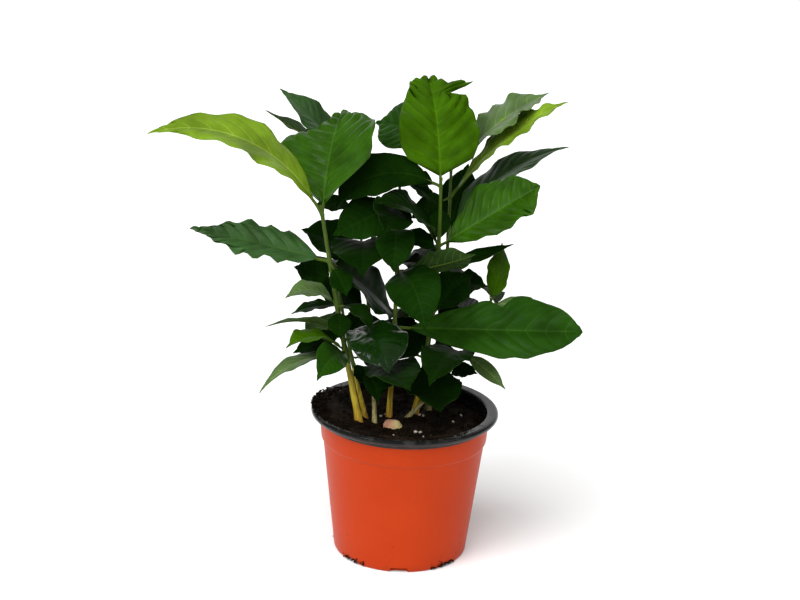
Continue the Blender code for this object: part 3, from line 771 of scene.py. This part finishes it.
# %% How the leaves grow
# Each row gives these in turn, and what a short row leaves out comes from the rule.
MEASURES = "heading rise curl length width tilt twist belly full tail".split()
STEER = {
    "left30": (198, 61, 76, 0.127, 0.034, 36),
    "left31": (82, 68, 59, 0.081, 0.073, 13, -26, 0.99, 1.14, 0.952),
    "left20": (172, 11, 4, 0.089, 0.029, 22),
    "tall40": (100, 72, 57, 0.082, 0.049, 13, -1, 0.66, 0.61, 0.989),
    "tall31": (357, 35, 1, 0.073, 0.043, 36, 1, 1.3, 0.65, 0.975),
    "middle11": (350, 4, 0, 0.117, 0.042, 48, 0, 1.45, 0.6, 0.985),
    "tall41": (184, 30, 95, 0.074, 0.030, 42, -1, 1.2),
    "back21": (18, 57, 49, 0.098, 0.030, 3, 4, 0.9),
    "back41": (16, 49, 26, 0.078, 0.041, 6, -3, 1.6),
    "back31": (353, 59, 34, 0.098, 0.029, 20, 0, 1.6),
    "back40": (132, 34, 47, 0.077, 0.033, 58, -14, 1.8),
    "middle21": (291, 12, 80, 0.060, 0.033, 20, 14),
    "twin11": (305, 31, 101, 0.057, 0.039, 15, 0, 1.49),
    "tall30": (215, 64, 63, 0.064, 0.030, 41, 8),
    "middle40": (260, -2, 18, 0.047, 0.027, 27, -25),
    "middle41": (204, -24, -2, 0.047, 0.029, 47, -1),
    "slender20": (283, 50, 100, 0.071, 0.042, 27, 6, 1.6),
    "left21": (37, -40, 19, 0.075, 0.054, 57, 0, 0.97, 0.82, 0.985),
    "twin31": (86, 24, 50, 0.044, 0.027),
    "middle31": (265, 16, 124, 0.040, 0.024, 15, 2),
    "slender41": (165, 23, -5, 0.063, 0.020, -4, 32),
    "slender40": (190, 52, 10, 0.064, 0.026, 19, -15),
    "tall11": (20, 60, 34, 0.037, 0.027, 34, 0, 1.25),
    "middle20": (338, 13, -14, 0.054, 0.026, -23, -22, 1.6),
    "slender00": (291, 16, 25, 0.068, 0.033, 25, 0, 1.25),
    "slender21": (190, 24, 3, 0.043, 0.031, 30, -8),
    "twin01": (5, -12, 20, 0.022, 0.014),
    "middle51": (0, -20, 30, 0.027, 0.014, 20),
    "back30": (235, -2, 7, 0.035, 0.022, 60, -40),
    "slender31": (299, 42, 124, 0.024, 0.014, 22, 10),
    "middle50": (100, 5, 50, 0.060),
    "slender30": (190, 10, 20, 0.027, 0.014, 30),
    "slender01": (279, -10, 44, 0.034, 0.015, 16, 4),
    "tall20": (95, 22, 15, 0.040, 0.026),
    "middle30": (110, -5, 40, 0.055),
    "low30": (15, 70, -25, 0.041, 0.018),
    "low31": (338, 17, 62, 0.041, 0.016, 37, 0, 1.1),
    "low11": (312, -9, 20, 0.041, 0.010, 40, 20),
    "tall00": (282, -32, -24, 0.050, 0.036, 3, -2),
    "left10": (190, 60, 90, 0.040, 0.018, 12),
    "twin10": (203, 30, 46, 0.055, 0.012, 0, 30),
    "left00": (207, 50, 88, 0.045, 0.024, 14, 14, 1.3),
    "left01": (252, 20, 51, 0.050, 0.020, 34, -29),
    "twin30": (174, 18, 10, 0.028, 0.023, 45),
    "twin20": (186, 3, 30, 0.032, 0.014, 12),
    "twin00": (198, 14, 71, 0.066, 0.016, 10),
    "left11": (350, 20, 90, 0.036),
    "tall21": (5, 20, 0, 0.050, 0.010),
    "back11": (350, 28, 40, 0.028, 0.022),
    "twin21": (127, -50, 3, 0.042, 0.026, -23, 17, 1.9),
    "low01": (350, 45, 60, 0.023, 0.013),
    "low00": (120, 20, 60, 0.045),
    "back20": (75, 50, 10, 0.055, 0.024),
    "back01": (100, 10, 60, 0.070),
    "back10": (55, 5, 60, 0.075),
    "tall10": (112, 5, 60, 0.070),
    "low20": (70, 10, 60, 0.050),
    "slender10": (170, 30, 20, 0.040, 0.026),
    "middle01": (72, 42, 30, 0.045, 0.034),
    "middle00": (110, 5, 60, 0.045),
    "middle10": (85, 8, 20, 0.046, 0.036),
    "slender11": (205, -28, 15, 0.032, 0.022, 20),
}

# Young leaves from the axils of the pairs, on sides 2 and 3, which the solids don't have
AXILS = {
    "slender12": (185, -35, 20, 0.023, 0.015, 25, 0),
    "middle32": (350, -22, 10, 0.027, 0.014, 35, 0),
    "tall32": (100, 68, 30, 0.028, 0.015, 10, 0),
    "twin02": (325, -58, 5, 0.020, 0.012, 20, 0),
    "slender02": (205, -35, 20, 0.020, 0.013, 20, 0),
    "twin12": (196, -14, 12, 0.036, 0.016, 30, 0),
    "tall42": (172, 22, 20, 0.026, 0.015, 25, 0),
    "left12": (300, -40, 20, 0.026, 0.016, 20, 0),
    "left22": (320, -45, 15, 0.024, 0.016, 20, 0),
    "tall12": (60, 30, 30, 0.026, 0.018, 20, 0),
    "tall22": (150, 15, 40, 0.026, 0.018, 20, 0),
    "middle12": (190, 10, 40, 0.026, 0.018, 20, 0),
    "middle02": (250, -10, 30, 0.024, 0.016, 20, 0),
    "low12": (200, 20, 40, 0.024, 0.015, 20, 0),
}

SEED = 11
LEAF_WIDTH = 0.46
Leaf = namedtuple("Leaf", ["seedling", "node", "side", *MEASURES, "wave"])


def tag(leaf):
    return f"{leaf.seedling}{leaf.node}{leaf.side}"


def leaf_growth(seedling, node, side):
    """The leaf of one node and side, by the plant's rule or as it is steered."""
    rng = random.Random(f"{SEED} {seedling.name} {node} {side}")
    share = node / (len(seedling.nodes) - 1)
    leaf = dict(
        heading=seedling.turn + 90 * node + 180 * side + rng.uniform(-14, 14),
        rise=5 + 45 * share + rng.uniform(-10, 10),
        curl=70 - 15 * share + rng.uniform(-15, 15),
        length=0.058 + 0.034 * share + rng.uniform(-0.006, 0.006),
        width=0.0,
        belly=0.95,
        full=0.7,
        tail=0.92,
        tilt=30 + rng.uniform(-8, 8),
        twist=rng.uniform(-8, 8),
        wave=rng.uniform(0, 360),
    )
    own = f"{seedling.name}{node}{side}"
    leaf.update(zip(MEASURES, STEER.get(own) or AXILS.get(own, ())))
    leaf["width"] = leaf["width"] or LEAF_WIDTH * leaf["length"]
    return Leaf(seedling.name, node, side, **leaf)


def varied(leaf, attempt):
    """The leaf a little turned, lifted and shortened, more so with each attempt."""
    if attempt == 0:
        return leaf
    rng = random.Random(f"{SEED} again {leaf.seedling} {leaf.node} {leaf.side} {attempt}")
    swing = min(3 + 0.6 * attempt, 50)
    shrink = 1 - 0.003 * attempt
    return leaf._replace(
        heading=leaf.heading + rng.uniform(-swing, swing),
        rise=leaf.rise + rng.uniform(-0.5, 0.5) * swing,
        curl=leaf.curl + rng.uniform(-0.5, 0.5) * swing,
        twist=leaf.twist + rng.uniform(-0.4, 0.4) * swing,
        length=leaf.length * shrink,
        width=leaf.width * shrink,
    )


print(len(STEER), "leaves are steered, and", len(AXILS), "young ones are added")

# %% [markdown]
# A leaf's midrib is a line that starts at an angle to the level and curls down along its length.
# The blade's half width follows a wedge base, a full middle and a narrow drip tip. For finding
# room, a leaf is a coarse closed shell, the same one that the solids have.

# %% The shape of a leaf
PETIOLE_SHARE, PETIOLE_LEAST, PETIOLE_RADIUS, PETIOLE_ROOT = 0.085, 0.0055, 0.0011, 0.0006
LEAF_THICKNESS, LEAF_THINNING, LEAF_FOLD = 0.015, 0.3, 15.0
TAIL_WIDTH, RIPPLE, RIPPLE_TURN, MIDRIB_STEPS = 0.16, 0.10, 900, 60
BLADE_STATIONS = (0.0, 0.09, 0.25, 0.45, 0.65, 0.82, 0.93)
LEAF_SECTION = (
    (-1, 0), (-0.5, 0.42), (0, 0.5), (0.5, 0.42), (1, 0), (0.5, -0.42), (0, -0.5), (-0.5, -0.42),
)


def petiole_share(leaf):
    return max(PETIOLE_SHARE, PETIOLE_LEAST / leaf.length)


def half_width(leaf, t):
    """Half the blade's width at share t of its length."""
    body = tail = 0.0
    if t < leaf.tail:
        body = math.sin(math.pi * (t / leaf.tail) ** leaf.belly) ** leaf.full
    if t > leaf.tail * 0.9:
        tail = min(TAIL_WIDTH, TAIL_WIDTH * (1 - t) / (1 - leaf.tail))
    return 0.5 * leaf.width * max(body, tail)


def leaf_frames(leaf, base, stations):
    """Places, across and up along the midrib, stations being shares of the length."""
    heading = math.radians(leaf.heading)
    ahead = Vector((math.cos(heading), math.sin(heading), 0.0))
    level = Vector((math.sin(heading), -math.cos(heading), 0.0))
    places, tangents = [base.copy()], []
    for i in range(MIDRIB_STEPS):
        lift = math.radians(leaf.rise - leaf.curl * ((i + 0.5) / MIDRIB_STEPS) ** 1.2)
        tangents.append(ahead * math.cos(lift) + Vector((0.0, 0.0, math.sin(lift))))
        places.append(places[-1] + tangents[-1] * (leaf.length / MIDRIB_STEPS))
    frames = []
    for s in stations:
        at = min(max(s, 0.0), 1.0) * MIDRIB_STEPS
        low = min(int(at), MIDRIB_STEPS - 1)
        tangent = tangents[low]
        place = places[low].lerp(places[low + 1], at - low) + tangent * (min(s, 0.0) * leaf.length)
        roll = (leaf.tilt * math.cos(heading) + leaf.twist) * min(max(s * 5, 0), 1)
        across = Matrix.Rotation(math.radians(roll), 3, tangent) @ level
        frames.append((place, across, across.cross(tangent)))
    return frames


def leaf_shell(leaf, base, extra=0.0, blade_only=False):
    """The leaf's closed loft. extra thickens it, for testing its room."""
    petiole = petiole_share(leaf)
    stations = [] if blade_only else [-PETIOLE_ROOT / leaf.length, petiole * 0.6]
    petioles = len(stations)
    stations += [petiole + (1 - petiole) * t for t in BLADE_STATIONS]
    vertices = []
    for i, (place, across, up) in enumerate(leaf_frames(leaf, base, stations)):
        t = (stations[i] - petiole) / (1 - petiole)
        opening = max(t, 0.0)
        thick = LEAF_THICKNESS * leaf.length * (1 - LEAF_THINNING * opening)
        if i < petioles:
            wide, thick = PETIOLE_RADIUS, max(thick, 1.6 * PETIOLE_RADIUS)
        else:
            wide = max(half_width(leaf, t), PETIOLE_RADIUS * 0.9 * (1 - t))
        wide += 0.5 * extra
        fold = math.tan(math.radians(LEAF_FOLD)) * min(opening * 6, 1.0)
        for x, lift in LEAF_SECTION:
            turn = math.radians(leaf.wave + RIPPLE_TURN * t + math.copysign(60, x - 0.01))
            ripple = RIPPLE * math.sin(turn) * x * x * min(opening * 4, 1.0)
            height = wide * (fold * abs(x) * (1 - 0.3 * abs(x)) + ripple)
            vertices.append(place + across * (x * wide) + up * (height + lift * (thick + extra)))
    count, rings = len(LEAF_SECTION), len(stations)
    vertices.append(leaf_frames(leaf, base, [1.0])[0][0])
    faces = []
    for start in range(0, (rings - 1) * count, count):
        for k in range(count):
            a, b = start + k, start + (k + 1) % count
            c, d = b + count, a + count
            faces += [(a, b, c), (a, c, d)] if k < count // 2 else [(a, b, d), (b, c, d)]
    last = (rings - 1) * count
    faces += [(last + k, last + (k + 1) % count, len(vertices) - 1) for k in range(count)]
    faces += [(0, k + 1, k) for k in range(1, count - 1)]
    return vertices, faces


def box_of(vertices):
    points = np.array([tuple(v) for v in vertices])
    return points.min(0), points.max(0)


print("one shell has", len(leaf_shell(leaf_growth(SEEDLINGS[0], 0, 0), Vector())[1]), "triangles")

# %% [markdown]
# Every leaf takes its room in turn. A tree of triangles tells quickly whether two shells cross, and
# it is asked only where their boxes meet.

# %% Find room for every leaf
STEM_SIDES, STEM_STEP, LEAF_CLEAR, TRIES = 7, 0.010, 0.0007, 100
# The least height of a leaf up to a radius: over the soil, over the rim, and outside the pot
LEAST_HEIGHTS = ((0.0503, SOIL_TOP + 0.003), (0.0623, 0.097), (math.inf, 0.091))


class Room:
    """What has its place already, and whether a leaf fits in beside it."""

    def __init__(self):
        self.taken = []

    def add(self, owner, vertices, faces):
        self.taken.append((owner, box_of(vertices), BVHTree.FromPolygons(vertices, faces)))

    def clear(self, vertices, faces, skip=()):
        low, high = box_of(vertices)
        tree = BVHTree.FromPolygons(vertices, faces)
        for owner, (other_low, other_high), other in self.taken:
            near = (low <= other_high).all() and (high >= other_low).all()
            if owner not in skip and near and tree.overlap(other):
                return False
        return True


def stem_guide(seedling):
    """The whole stem as coarse rings and their faces."""
    low, high = SOIL_TOP + GAP, seedling.top[2]
    steps = max(2, round((high - low) / STEM_STEP))
    vertices, faces = [], []
    for i in range(steps + 1):
        z = low + (high - low) * i / steps
        middle, radius = stem_point(seedling, z), stem_radius(seedling, z)
        for k in range(STEM_SIDES):
            angle = math.tau * k / STEM_SIDES
            vertices.append(middle + Vector((-math.sin(angle), math.cos(angle), 0.0)) * radius)
    for start in range(0, steps * STEM_SIDES, STEM_SIDES):
        for k in range(STEM_SIDES):
            a, b = start + k, start + (k + 1) % STEM_SIDES
            faces.append((a, b, b + STEM_SIDES, a + STEM_SIDES))
    faces.append(tuple(reversed(range(STEM_SIDES))))
    faces.append(tuple(range(steps * STEM_SIDES, (steps + 1) * STEM_SIDES)))
    return vertices, faces


def clear_of_pot(vertices):
    for v in vertices:
        radius = math.hypot(v.x, v.y)
        if v.z < next(least for edge, least in LEAST_HEIGHTS if radius < edge):
            return False
    return True


def fits(leaf, base, room):
    """The blade keeps clear of everything, the petiole of all but its stem and its pair."""
    blade = leaf_shell(leaf, base, 2 * LEAF_CLEAR, blade_only=True)
    if not clear_of_pot(blade[0]) or not room.clear(*blade):
        return False
    own = [("stem", leaf.seedling), (leaf.seedling, leaf.node, 0), (leaf.seedling, leaf.node, 1)]
    return room.clear(*leaf_shell(leaf, base), skip=own)


def place_leaves():
    """Every leaf that finds room: steered ones first, in their order, and young ones last."""
    room, bases, wanted = Room(), {}, []
    for seedling in SEEDLINGS:
        room.add(("stem", seedling.name), *stem_guide(seedling))
        for node, z in enumerate(seedling.nodes):
            bases[seedling.name, node] = stem_point(seedling, z)
            wanted += [leaf_growth(seedling, node, side) for side in (0, 1)]
    order = list(STEER)
    wanted.sort(key=lambda leaf: order.index(tag(leaf)) if tag(leaf) in STEER else len(order))
    named = {seedling.name: seedling for seedling in SEEDLINGS}
    wanted += [leaf_growth(named[own[:-2]], int(own[-2]), int(own[-1])) for own in AXILS]
    placed = []
    for first in wanted:
        base = bases[first.seedling, first.node]
        for attempt in range(TRIES):
            leaf = varied(first, attempt)
            if fits(leaf, base, room):
                room.add(leaf[:3], *leaf_shell(leaf, base))
                placed.append((leaf, base))
                break
        else:
            print("no room for", tag(first))
    return placed


PLACED = place_leaves()
print(len(PLACED), "leaves have found room")

# %% [markdown]
# A coffee leaf is glossy above, with pale veins, and paler and duller below. Leaves differ by age
# and by how the light falls through them, and three tones paint light into the colour: a glow of
# light through the leaf, a pale sheen, and the shade deep in the crown. Each tone is a set of four
# finishes: blade, veins, underside and the veins below. A glossy tone also has a paler sheen than a
# matt one.

# %% Leaf finishes
# Blade, vein, roughness and gloss
TONES = {
    "fresh": ((0.018, 0.062, 0.0015), (0.032, 0.090, 0.004), 0.32, 0.22),
    # This tone paints the glow of light shining through a thin leaf into its colour.
    "lime": ((0.125, 0.215, 0.012), (0.22, 0.32, 0.04), 0.38, 0.14),
    "bright": ((0.028, 0.078, 0.0010), (0.042, 0.105, 0.0025), 0.36, 0.08),
    "mid": ((0.0095, 0.038, 0.0018), (0.018, 0.054, 0.004), 0.32, 0.15),
    "soft": ((0.025, 0.068, 0.015), (0.034, 0.085, 0.016), 0.34, 0.30),
    # This tone paints a pale sheen, a reflection of the bright surroundings, into the colour.
    "pale": ((0.060, 0.110, 0.028), (0.12, 0.18, 0.05), 0.36, 0.33),
    "dark": ((0.0036, 0.017, 0.0009), (0.0068, 0.026, 0.002), 0.38, 0.06),
    "wet": ((0.0030, 0.016, 0.0010), (0.0050, 0.022, 0.0016), 0.16, 0.80),
    # This tone is darkened to paint the shade that falls deep in the crown and near the soil.
    "deep": ((0.0030, 0.013, 0.0008), (0.0052, 0.019, 0.0015), 0.42, 0.03),
}
SHEEN_GAIN = (5.0, 6.5, 5.2)
PALE_UNDER, PALE_VEIN = (0.06, 0.11, 0.03), (0.12, 0.18, 0.05)


def mixed(first, second, share):
    return tuple((1 - share) * a + share * b for a, b in zip(first, second))


def leaf_set(tone):
    base, vein, roughness, gloss = TONES[tone]
    sheen = tuple(min(1.0, gloss * gain) for gain in SHEEN_GAIN) + (1.0,)
    made = []
    for part, shade, rough, relief in (
        ("blade", base, roughness, 0.15),
        ("vein", vein, roughness + 0.08, 0.10),
        ("under", mixed(base, PALE_UNDER, 0.25), 0.55, 0.3),
        ("under_vein", mixed(vein, PALE_VEIN, 0.4), 0.5, 0.15),
    ):
        finish, wire = new_material(
            f"{tone}_{part}", rough, Specular_IOR_Level=gloss, Specular_Tint=sheen
        )
        patches = wire.noise(55.0, 3.0)
        darker, lighter = (tuple(c * k for c in shade) for k in (0.74, 1.26))
        feed(finish,
             Base_Color=patches.between(0.3, 0.7).blend(darker, lighter),
             Roughness=rough - 0.06 + 0.12 * wire.noise(140.0, 2.0),
             Normal=wire.noise(750.0, 3.0).bump(relief, 0.0007))
        made.append(finish)
    return made


FINISHES = {tone: leaf_set(tone) for tone in TONES}
print("leaf finishes:", ", ".join(FINISHES))

# %% [markdown]
# All leaves come from one flat blade. It is a grid whose rows follow eight pairs of side veins and
# whose columns run along the midrib, so that narrow strips of faces are the veins and take their
# own finish.

# %% The blade that every leaf is copied from
VEINS = np.linspace(0.10, 0.90, 8)
HALF_COLUMNS = (0.03, 0.12, 0.24, 0.36, 0.48, 0.60, 0.72, 0.84, 0.94, 1)
COLUMNS = np.array([-column for column in reversed(HALF_COLUMNS)] + list(HALF_COLUMNS))
# Each row is a share of the length, and the side of a vein that it keeps to
rows = [(0.0, 0), (0.035, 0), (0.07, 0)]
for i, vein in enumerate(VEINS):
    rows += [(vein, -1), (vein, 1)]
    if i < len(VEINS) - 1:
        rows += [(vein + (VEINS[i + 1] - vein) * share, 0) for share in (0.25, 0.5, 0.75)]
rows += [(0.925, 0), (0.95, 0), (0.975, 0), (1.0, 0)]
ROWS = np.array(rows)

bpy.ops.mesh.primitive_grid_add(
    x_subdivisions=len(COLUMNS) - 1, y_subdivisions=len(ROWS) - 1, size=2.0
)
blade = bpy.context.object
grid = points_of(blade)
column_of = np.rint((grid[:, 0] + 1) / 2 * (len(COLUMNS) - 1)).astype(int)
row_of = np.rint((grid[:, 1] + 1) / 2 * (len(ROWS) - 1)).astype(int)
for face in blade.data.polygons:
    beside = COLUMNS[sorted({int(column_of[i]) for i in face.vertices})]
    sides = [ROWS[row][1] for row in sorted({int(row_of[i]) for i in face.vertices})]
    on_rib = abs(beside[0] + beside[1]) < 0.01
    on_vein = sides == [-1, 1] and max(abs(beside)) < 0.95
    face.material_index = 1 if on_rib or on_vein else 0
print("blade:", len(blade.data.polygons), "faces")

# %% [markdown]
# Each leaf is a copy of the blade whose points are moved by a few smooth rules: side veins sweep
# forward, the halves fold up from the midrib, the blade swells between the veins, and the margin
# waves. Some leaves are swollen deeper, as new leaves are, some have a livelier frill, and a few
# have lobes and nibbled places on their margin. A tube under the blade is the petiole that runs on
# as the midrib's raised back.

# %% Shape one leaf
SWEEP, VEIN_HALF, RIB_HALF, USUAL_LENGTH = 0.27, 0.0042, 0.00075, 0.09
USUAL_SWELL, USUAL_FRILL = 0.0045, 0.035
# Swelling between the veins, as a share of the leaf's length
QUILTED = {
    "left31": 0.032, "tall40": 0.046, "back40": 0.018, "tall31": 0.024, "left20": 0.024,
    "middle11": 0.009,
}
# Height of the margin's frill, as a share of the half width
FRILLED = {"left20": 0.17, "back31": 0.12, "back41": 0.08, "left30": 0.07}
# Side, place, width and depth of each bite out of the margin. A depth below zero is a lobe.
BITES = {
    "tall40": ((1, 0.71, 0.03, 0.50), (1, 0.82, 0.04, -0.95), (1, 0.58, 0.015, 0.10),
               (-1, 0.90, 0.07, -0.35)),
    "tall31": ((1, 0.86, 0.07, -0.45), (1, 0.52, 0.15, 0.14), (-1, 0.70, 0.12, 0.06)),
    "middle11": ((-1, 0.53, 0.05, 0.34), (-1, 0.66, 0.05, -0.05), (1, 0.62, 0.05, 0.08)),
    "back31": ((1, 0.55, 0.03, 0.35), (1, 0.70, 0.02, 0.25), (-1, 0.78, 0.03, 0.3)),
}


def midrib_frames(leaf, base, s):
    """Places, across and up for an array of shares s of the leaf's length."""
    heading = math.radians(leaf.heading)
    ahead = np.array((math.cos(heading), math.sin(heading), 0.0))
    level = np.array((math.sin(heading), -math.cos(heading), 0.0))
    rise = np.array((0.0, 0.0, 1.0))
    shares = (np.arange(MIDRIB_STEPS) + 0.5) / MIDRIB_STEPS
    lifts = np.radians(leaf.rise - leaf.curl * shares ** 1.2)
    tangents = np.outer(np.cos(lifts), ahead) + np.outer(np.sin(lifts), rise)
    steps = tangents * (leaf.length / MIDRIB_STEPS)
    line = np.vstack(([0, 0, 0], np.cumsum(steps, axis=0))) + np.array(base)
    clipped = np.clip(s, 0.0, 1.0)
    marks = np.arange(MIDRIB_STEPS + 1) / MIDRIB_STEPS
    place = np.stack([np.interp(clipped, marks, line[:, k]) for k in range(3)], axis=1)
    lift = np.radians(leaf.rise - leaf.curl * clipped ** 1.2)
    tangent = np.outer(np.cos(lift), ahead) + np.outer(np.sin(lift), rise)
    place += tangent * (np.minimum(s, 0.0) * leaf.length)[:, None]
    turn = leaf.tilt * math.cos(heading) + leaf.twist
    roll = np.radians(turn * np.clip(s * 5, 0, 1))[:, None]
    across = level * np.cos(roll) + np.cross(tangent, level) * np.sin(roll)
    return place, across, np.cross(across, tangent)


def blade_points(leaf, base):
    """The blade's points: v runs across it from -1 to 1, w along the veins, t along the midrib."""
    petiole = petiole_share(leaf)
    v = COLUMNS[column_of]
    away, inner = np.abs(v), COLUMNS[COLUMNS > 0][0]
    vein_half = VEIN_HALF * (1 - 0.7 * away) * np.sqrt(USUAL_LENGTH / leaf.length)
    w = ROWS[row_of, 0] + ROWS[row_of, 1] * vein_half
    forward = SWEEP * (0.6 * away + 0.4 * v * v) * 3.65 * w ** 0.7 * (1 - w) ** 1.3
    t = np.clip(w + forward, 0.0, 1.0)
    place, across, up = midrib_frames(leaf, base, petiole + (1 - petiole) * t)
    half = np.array([half_width(leaf, x) for x in t])
    half = np.maximum(half, PETIOLE_RADIUS * 0.9 * (1 - t) + 0.0002)
    for side, spot, width, depth in BITES.get(tag(leaf), ()):
        bite = depth * np.exp(-(((t - spot) / width) ** 2))
        half = half * (1 - np.where(v * side > 0, bite, 0.0))
    scale = math.sqrt(leaf.length / USUAL_LENGTH)
    rib = np.minimum(RIB_HALF * scale * (1 - 0.75 * t), 0.4 * half)
    x = np.sign(v) * (rib + (away - inner) / (1 - inner) * (half - rib))
    fold = math.tan(math.radians(LEAF_FOLD)) * np.minimum(t * 6, 1.0)
    ripple = RIPPLE * np.sin(np.radians(leaf.wave + RIPPLE_TURN * t + np.copysign(60, v)))
    waves = ripple * v * v * np.minimum(t * 4, 1.0)
    height = half * (fold * away * (1 - 0.3 * away) + waves)
    marks = np.concatenate(([0.0], VEINS, [1.0]))
    between = np.interp(w, marks, np.arange(len(marks))) % 1.0
    swell = np.sin(np.pi * between) ** 0.8 * smooth(away, 0.02, 0.3)
    swell *= 1 - 0.7 * smooth(away, 0.75, 1.0)
    height += QUILTED.get(tag(leaf), USUAL_SWELL) * leaf.length * swell
    frill = np.sin(np.radians(2.7 * leaf.wave) + 38 * t + 2.0 * np.sign(v)) * away ** 4
    height += FRILLED.get(tag(leaf), USUAL_FRILL) * half * frill
    return place + across * x[:, None] + up * height[:, None]


def rib_points(leaf, base):
    """The tube as petiole and midrib, thick at the stem and thin at the tip."""
    s = -PETIOLE_ROOT / leaf.length + tube_points[:, 2] * 0.97
    petiole = petiole_share(leaf)
    place, across, up = midrib_frames(leaf, base, s)
    thick = PETIOLE_RADIUS * min(1.0, 0.55 + 0.45 * leaf.length / USUAL_LENGTH)
    root = 1 + 0.35 * np.exp(-np.maximum(s, 0) * 90)
    radius = thick * (1 - 0.82 * np.clip(s, 0, 1) ** 0.7) * root
    sink = radius * 0.75 * smooth(s, 0.5 * petiole, petiole + 0.05)
    ring = across * tube_points[:, :1] + up * tube_points[:, 1:2]
    return place - up * sink[:, None] + ring * radius[:, None]


print("leaf rules are ready")

# %% [markdown]
# Growing a shoot puts its stretch of stem, its petioles with midribs and a bud on top into one
# piece, and its blades into another. Solidify gives the blades their thickness and their underside
# its own finishes. A leaf with no tone of its own is dark, or deep in the shade near the soil.

# %% Grow the shoots
LOOKS = {
    "fresh": "left31 tall31",
    # These leaves have the painted glow of light through them.
    "lime": "left30 back31",
    "bright": "tall40 low30 left00",
    "mid": "back40 middle11 left01",
    "soft": "left20 back21 slender40",
    # These leaves have a painted sheen in their colour.
    "pale": "back41 low31 low11 left10 twin10 twin00",
    "dark": "slender41 middle21 middle20 tall11 twin31 slender31 middle41",
    "wet": "twin11",
    # These leaves have painted shade in their colour.
    "deep": "tall41 tall30 middle50 middle51 middle40 back30 slender20 left21",
}
TONE_OF = {own: tone for tone, tags in LOOKS.items() for own in tags.split()}
BLADE_THICKNESS = 0.00035


def grow_blades(placed):
    blades = []
    for leaf, base in placed:
        # leaves low on a seedling take the deep tone, which paints the shade there
        tone = TONE_OF.get(tag(leaf)) or ("dark" if leaf.node >= 2 else "deep")
        piece = copied(blade, "leaf")
        set_points(piece, blade_points(leaf, base))
        for finish in FINISHES[tone]:
            piece.data.materials.append(finish)
        apply_modifier(piece, "SOLIDIFY", thickness=BLADE_THICKNESS, offset=0.0,
                       material_offset=2, material_offset_rim=2)
        blades.append(piece)
    work_on(*blades)
    bpy.ops.object.join()
    bpy.ops.object.shade_smooth()
    return bpy.context.object


BUD_LENGTH, BUD_LEAN = 0.0026, 0.25


def grow_bud(seedling, side):
    """One of the two folded leaves on top of a seedling: a sphere, flattened and narrowed."""
    bpy.ops.mesh.primitive_uv_sphere_add(segments=10, ring_count=8, radius=1.0)
    bud = bpy.context.object
    about = Matrix.Rotation(math.radians(seedling.turn + 180 * side), 3, "Z")
    lean = about @ Matrix.Rotation(BUD_LEAN, 3, "Y")
    tip, radius = Vector(seedling.top), stem_radius(seedling, seedling.top[2])
    points = []
    for x, y, z in points_of(bud):
        narrow = 1 - 0.35 * z
        wide, deep = x * radius * 0.55 * narrow, y * radius * 0.9 * narrow
        points.append(lean @ Vector((wide, deep, (z + 0.6) * BUD_LENGTH)) + tip)
    set_points(bud, points)
    return bud


def grow_ribs(seedling, low, high, placed):
    parts = [shaped_stem(seedling, low, high, "shoot")]
    for leaf, base in placed:
        parts.append(copied(tube, "rib"))
        set_points(parts[-1], rib_points(leaf, base))
    if high == seedling.top[2]:
        parts += [grow_bud(seedling, side) for side in (0, 1)]
    for part in parts:
        part.data.materials.append(green_shoot)
    work_on(*parts)
    bpy.ops.object.join()
    bpy.ops.object.shade_smooth_by_angle(angle=math.radians(60))
    return bpy.context.object


for seedling in SEEDLINGS:
    own = [(leaf, base) for leaf, base in PLACED if leaf.seedling == seedling.name]
    for kind, (low, high) in shoots_of(seedling).items():
        placed = [(leaf, base) for leaf, base in own if low < base.z < high]
        node = f"{seedling.name}_{kind}"
        finish_piece(grow_blades(placed), f"{node}_blades", "coffee_leaf", node)
        ribs = grow_ribs(seedling, low, high, placed)
        finish_piece(ribs, f"{node}_ribs", "coffee_leaf", node)

bpy.data.objects.remove(blade)
bpy.data.objects.remove(tube)
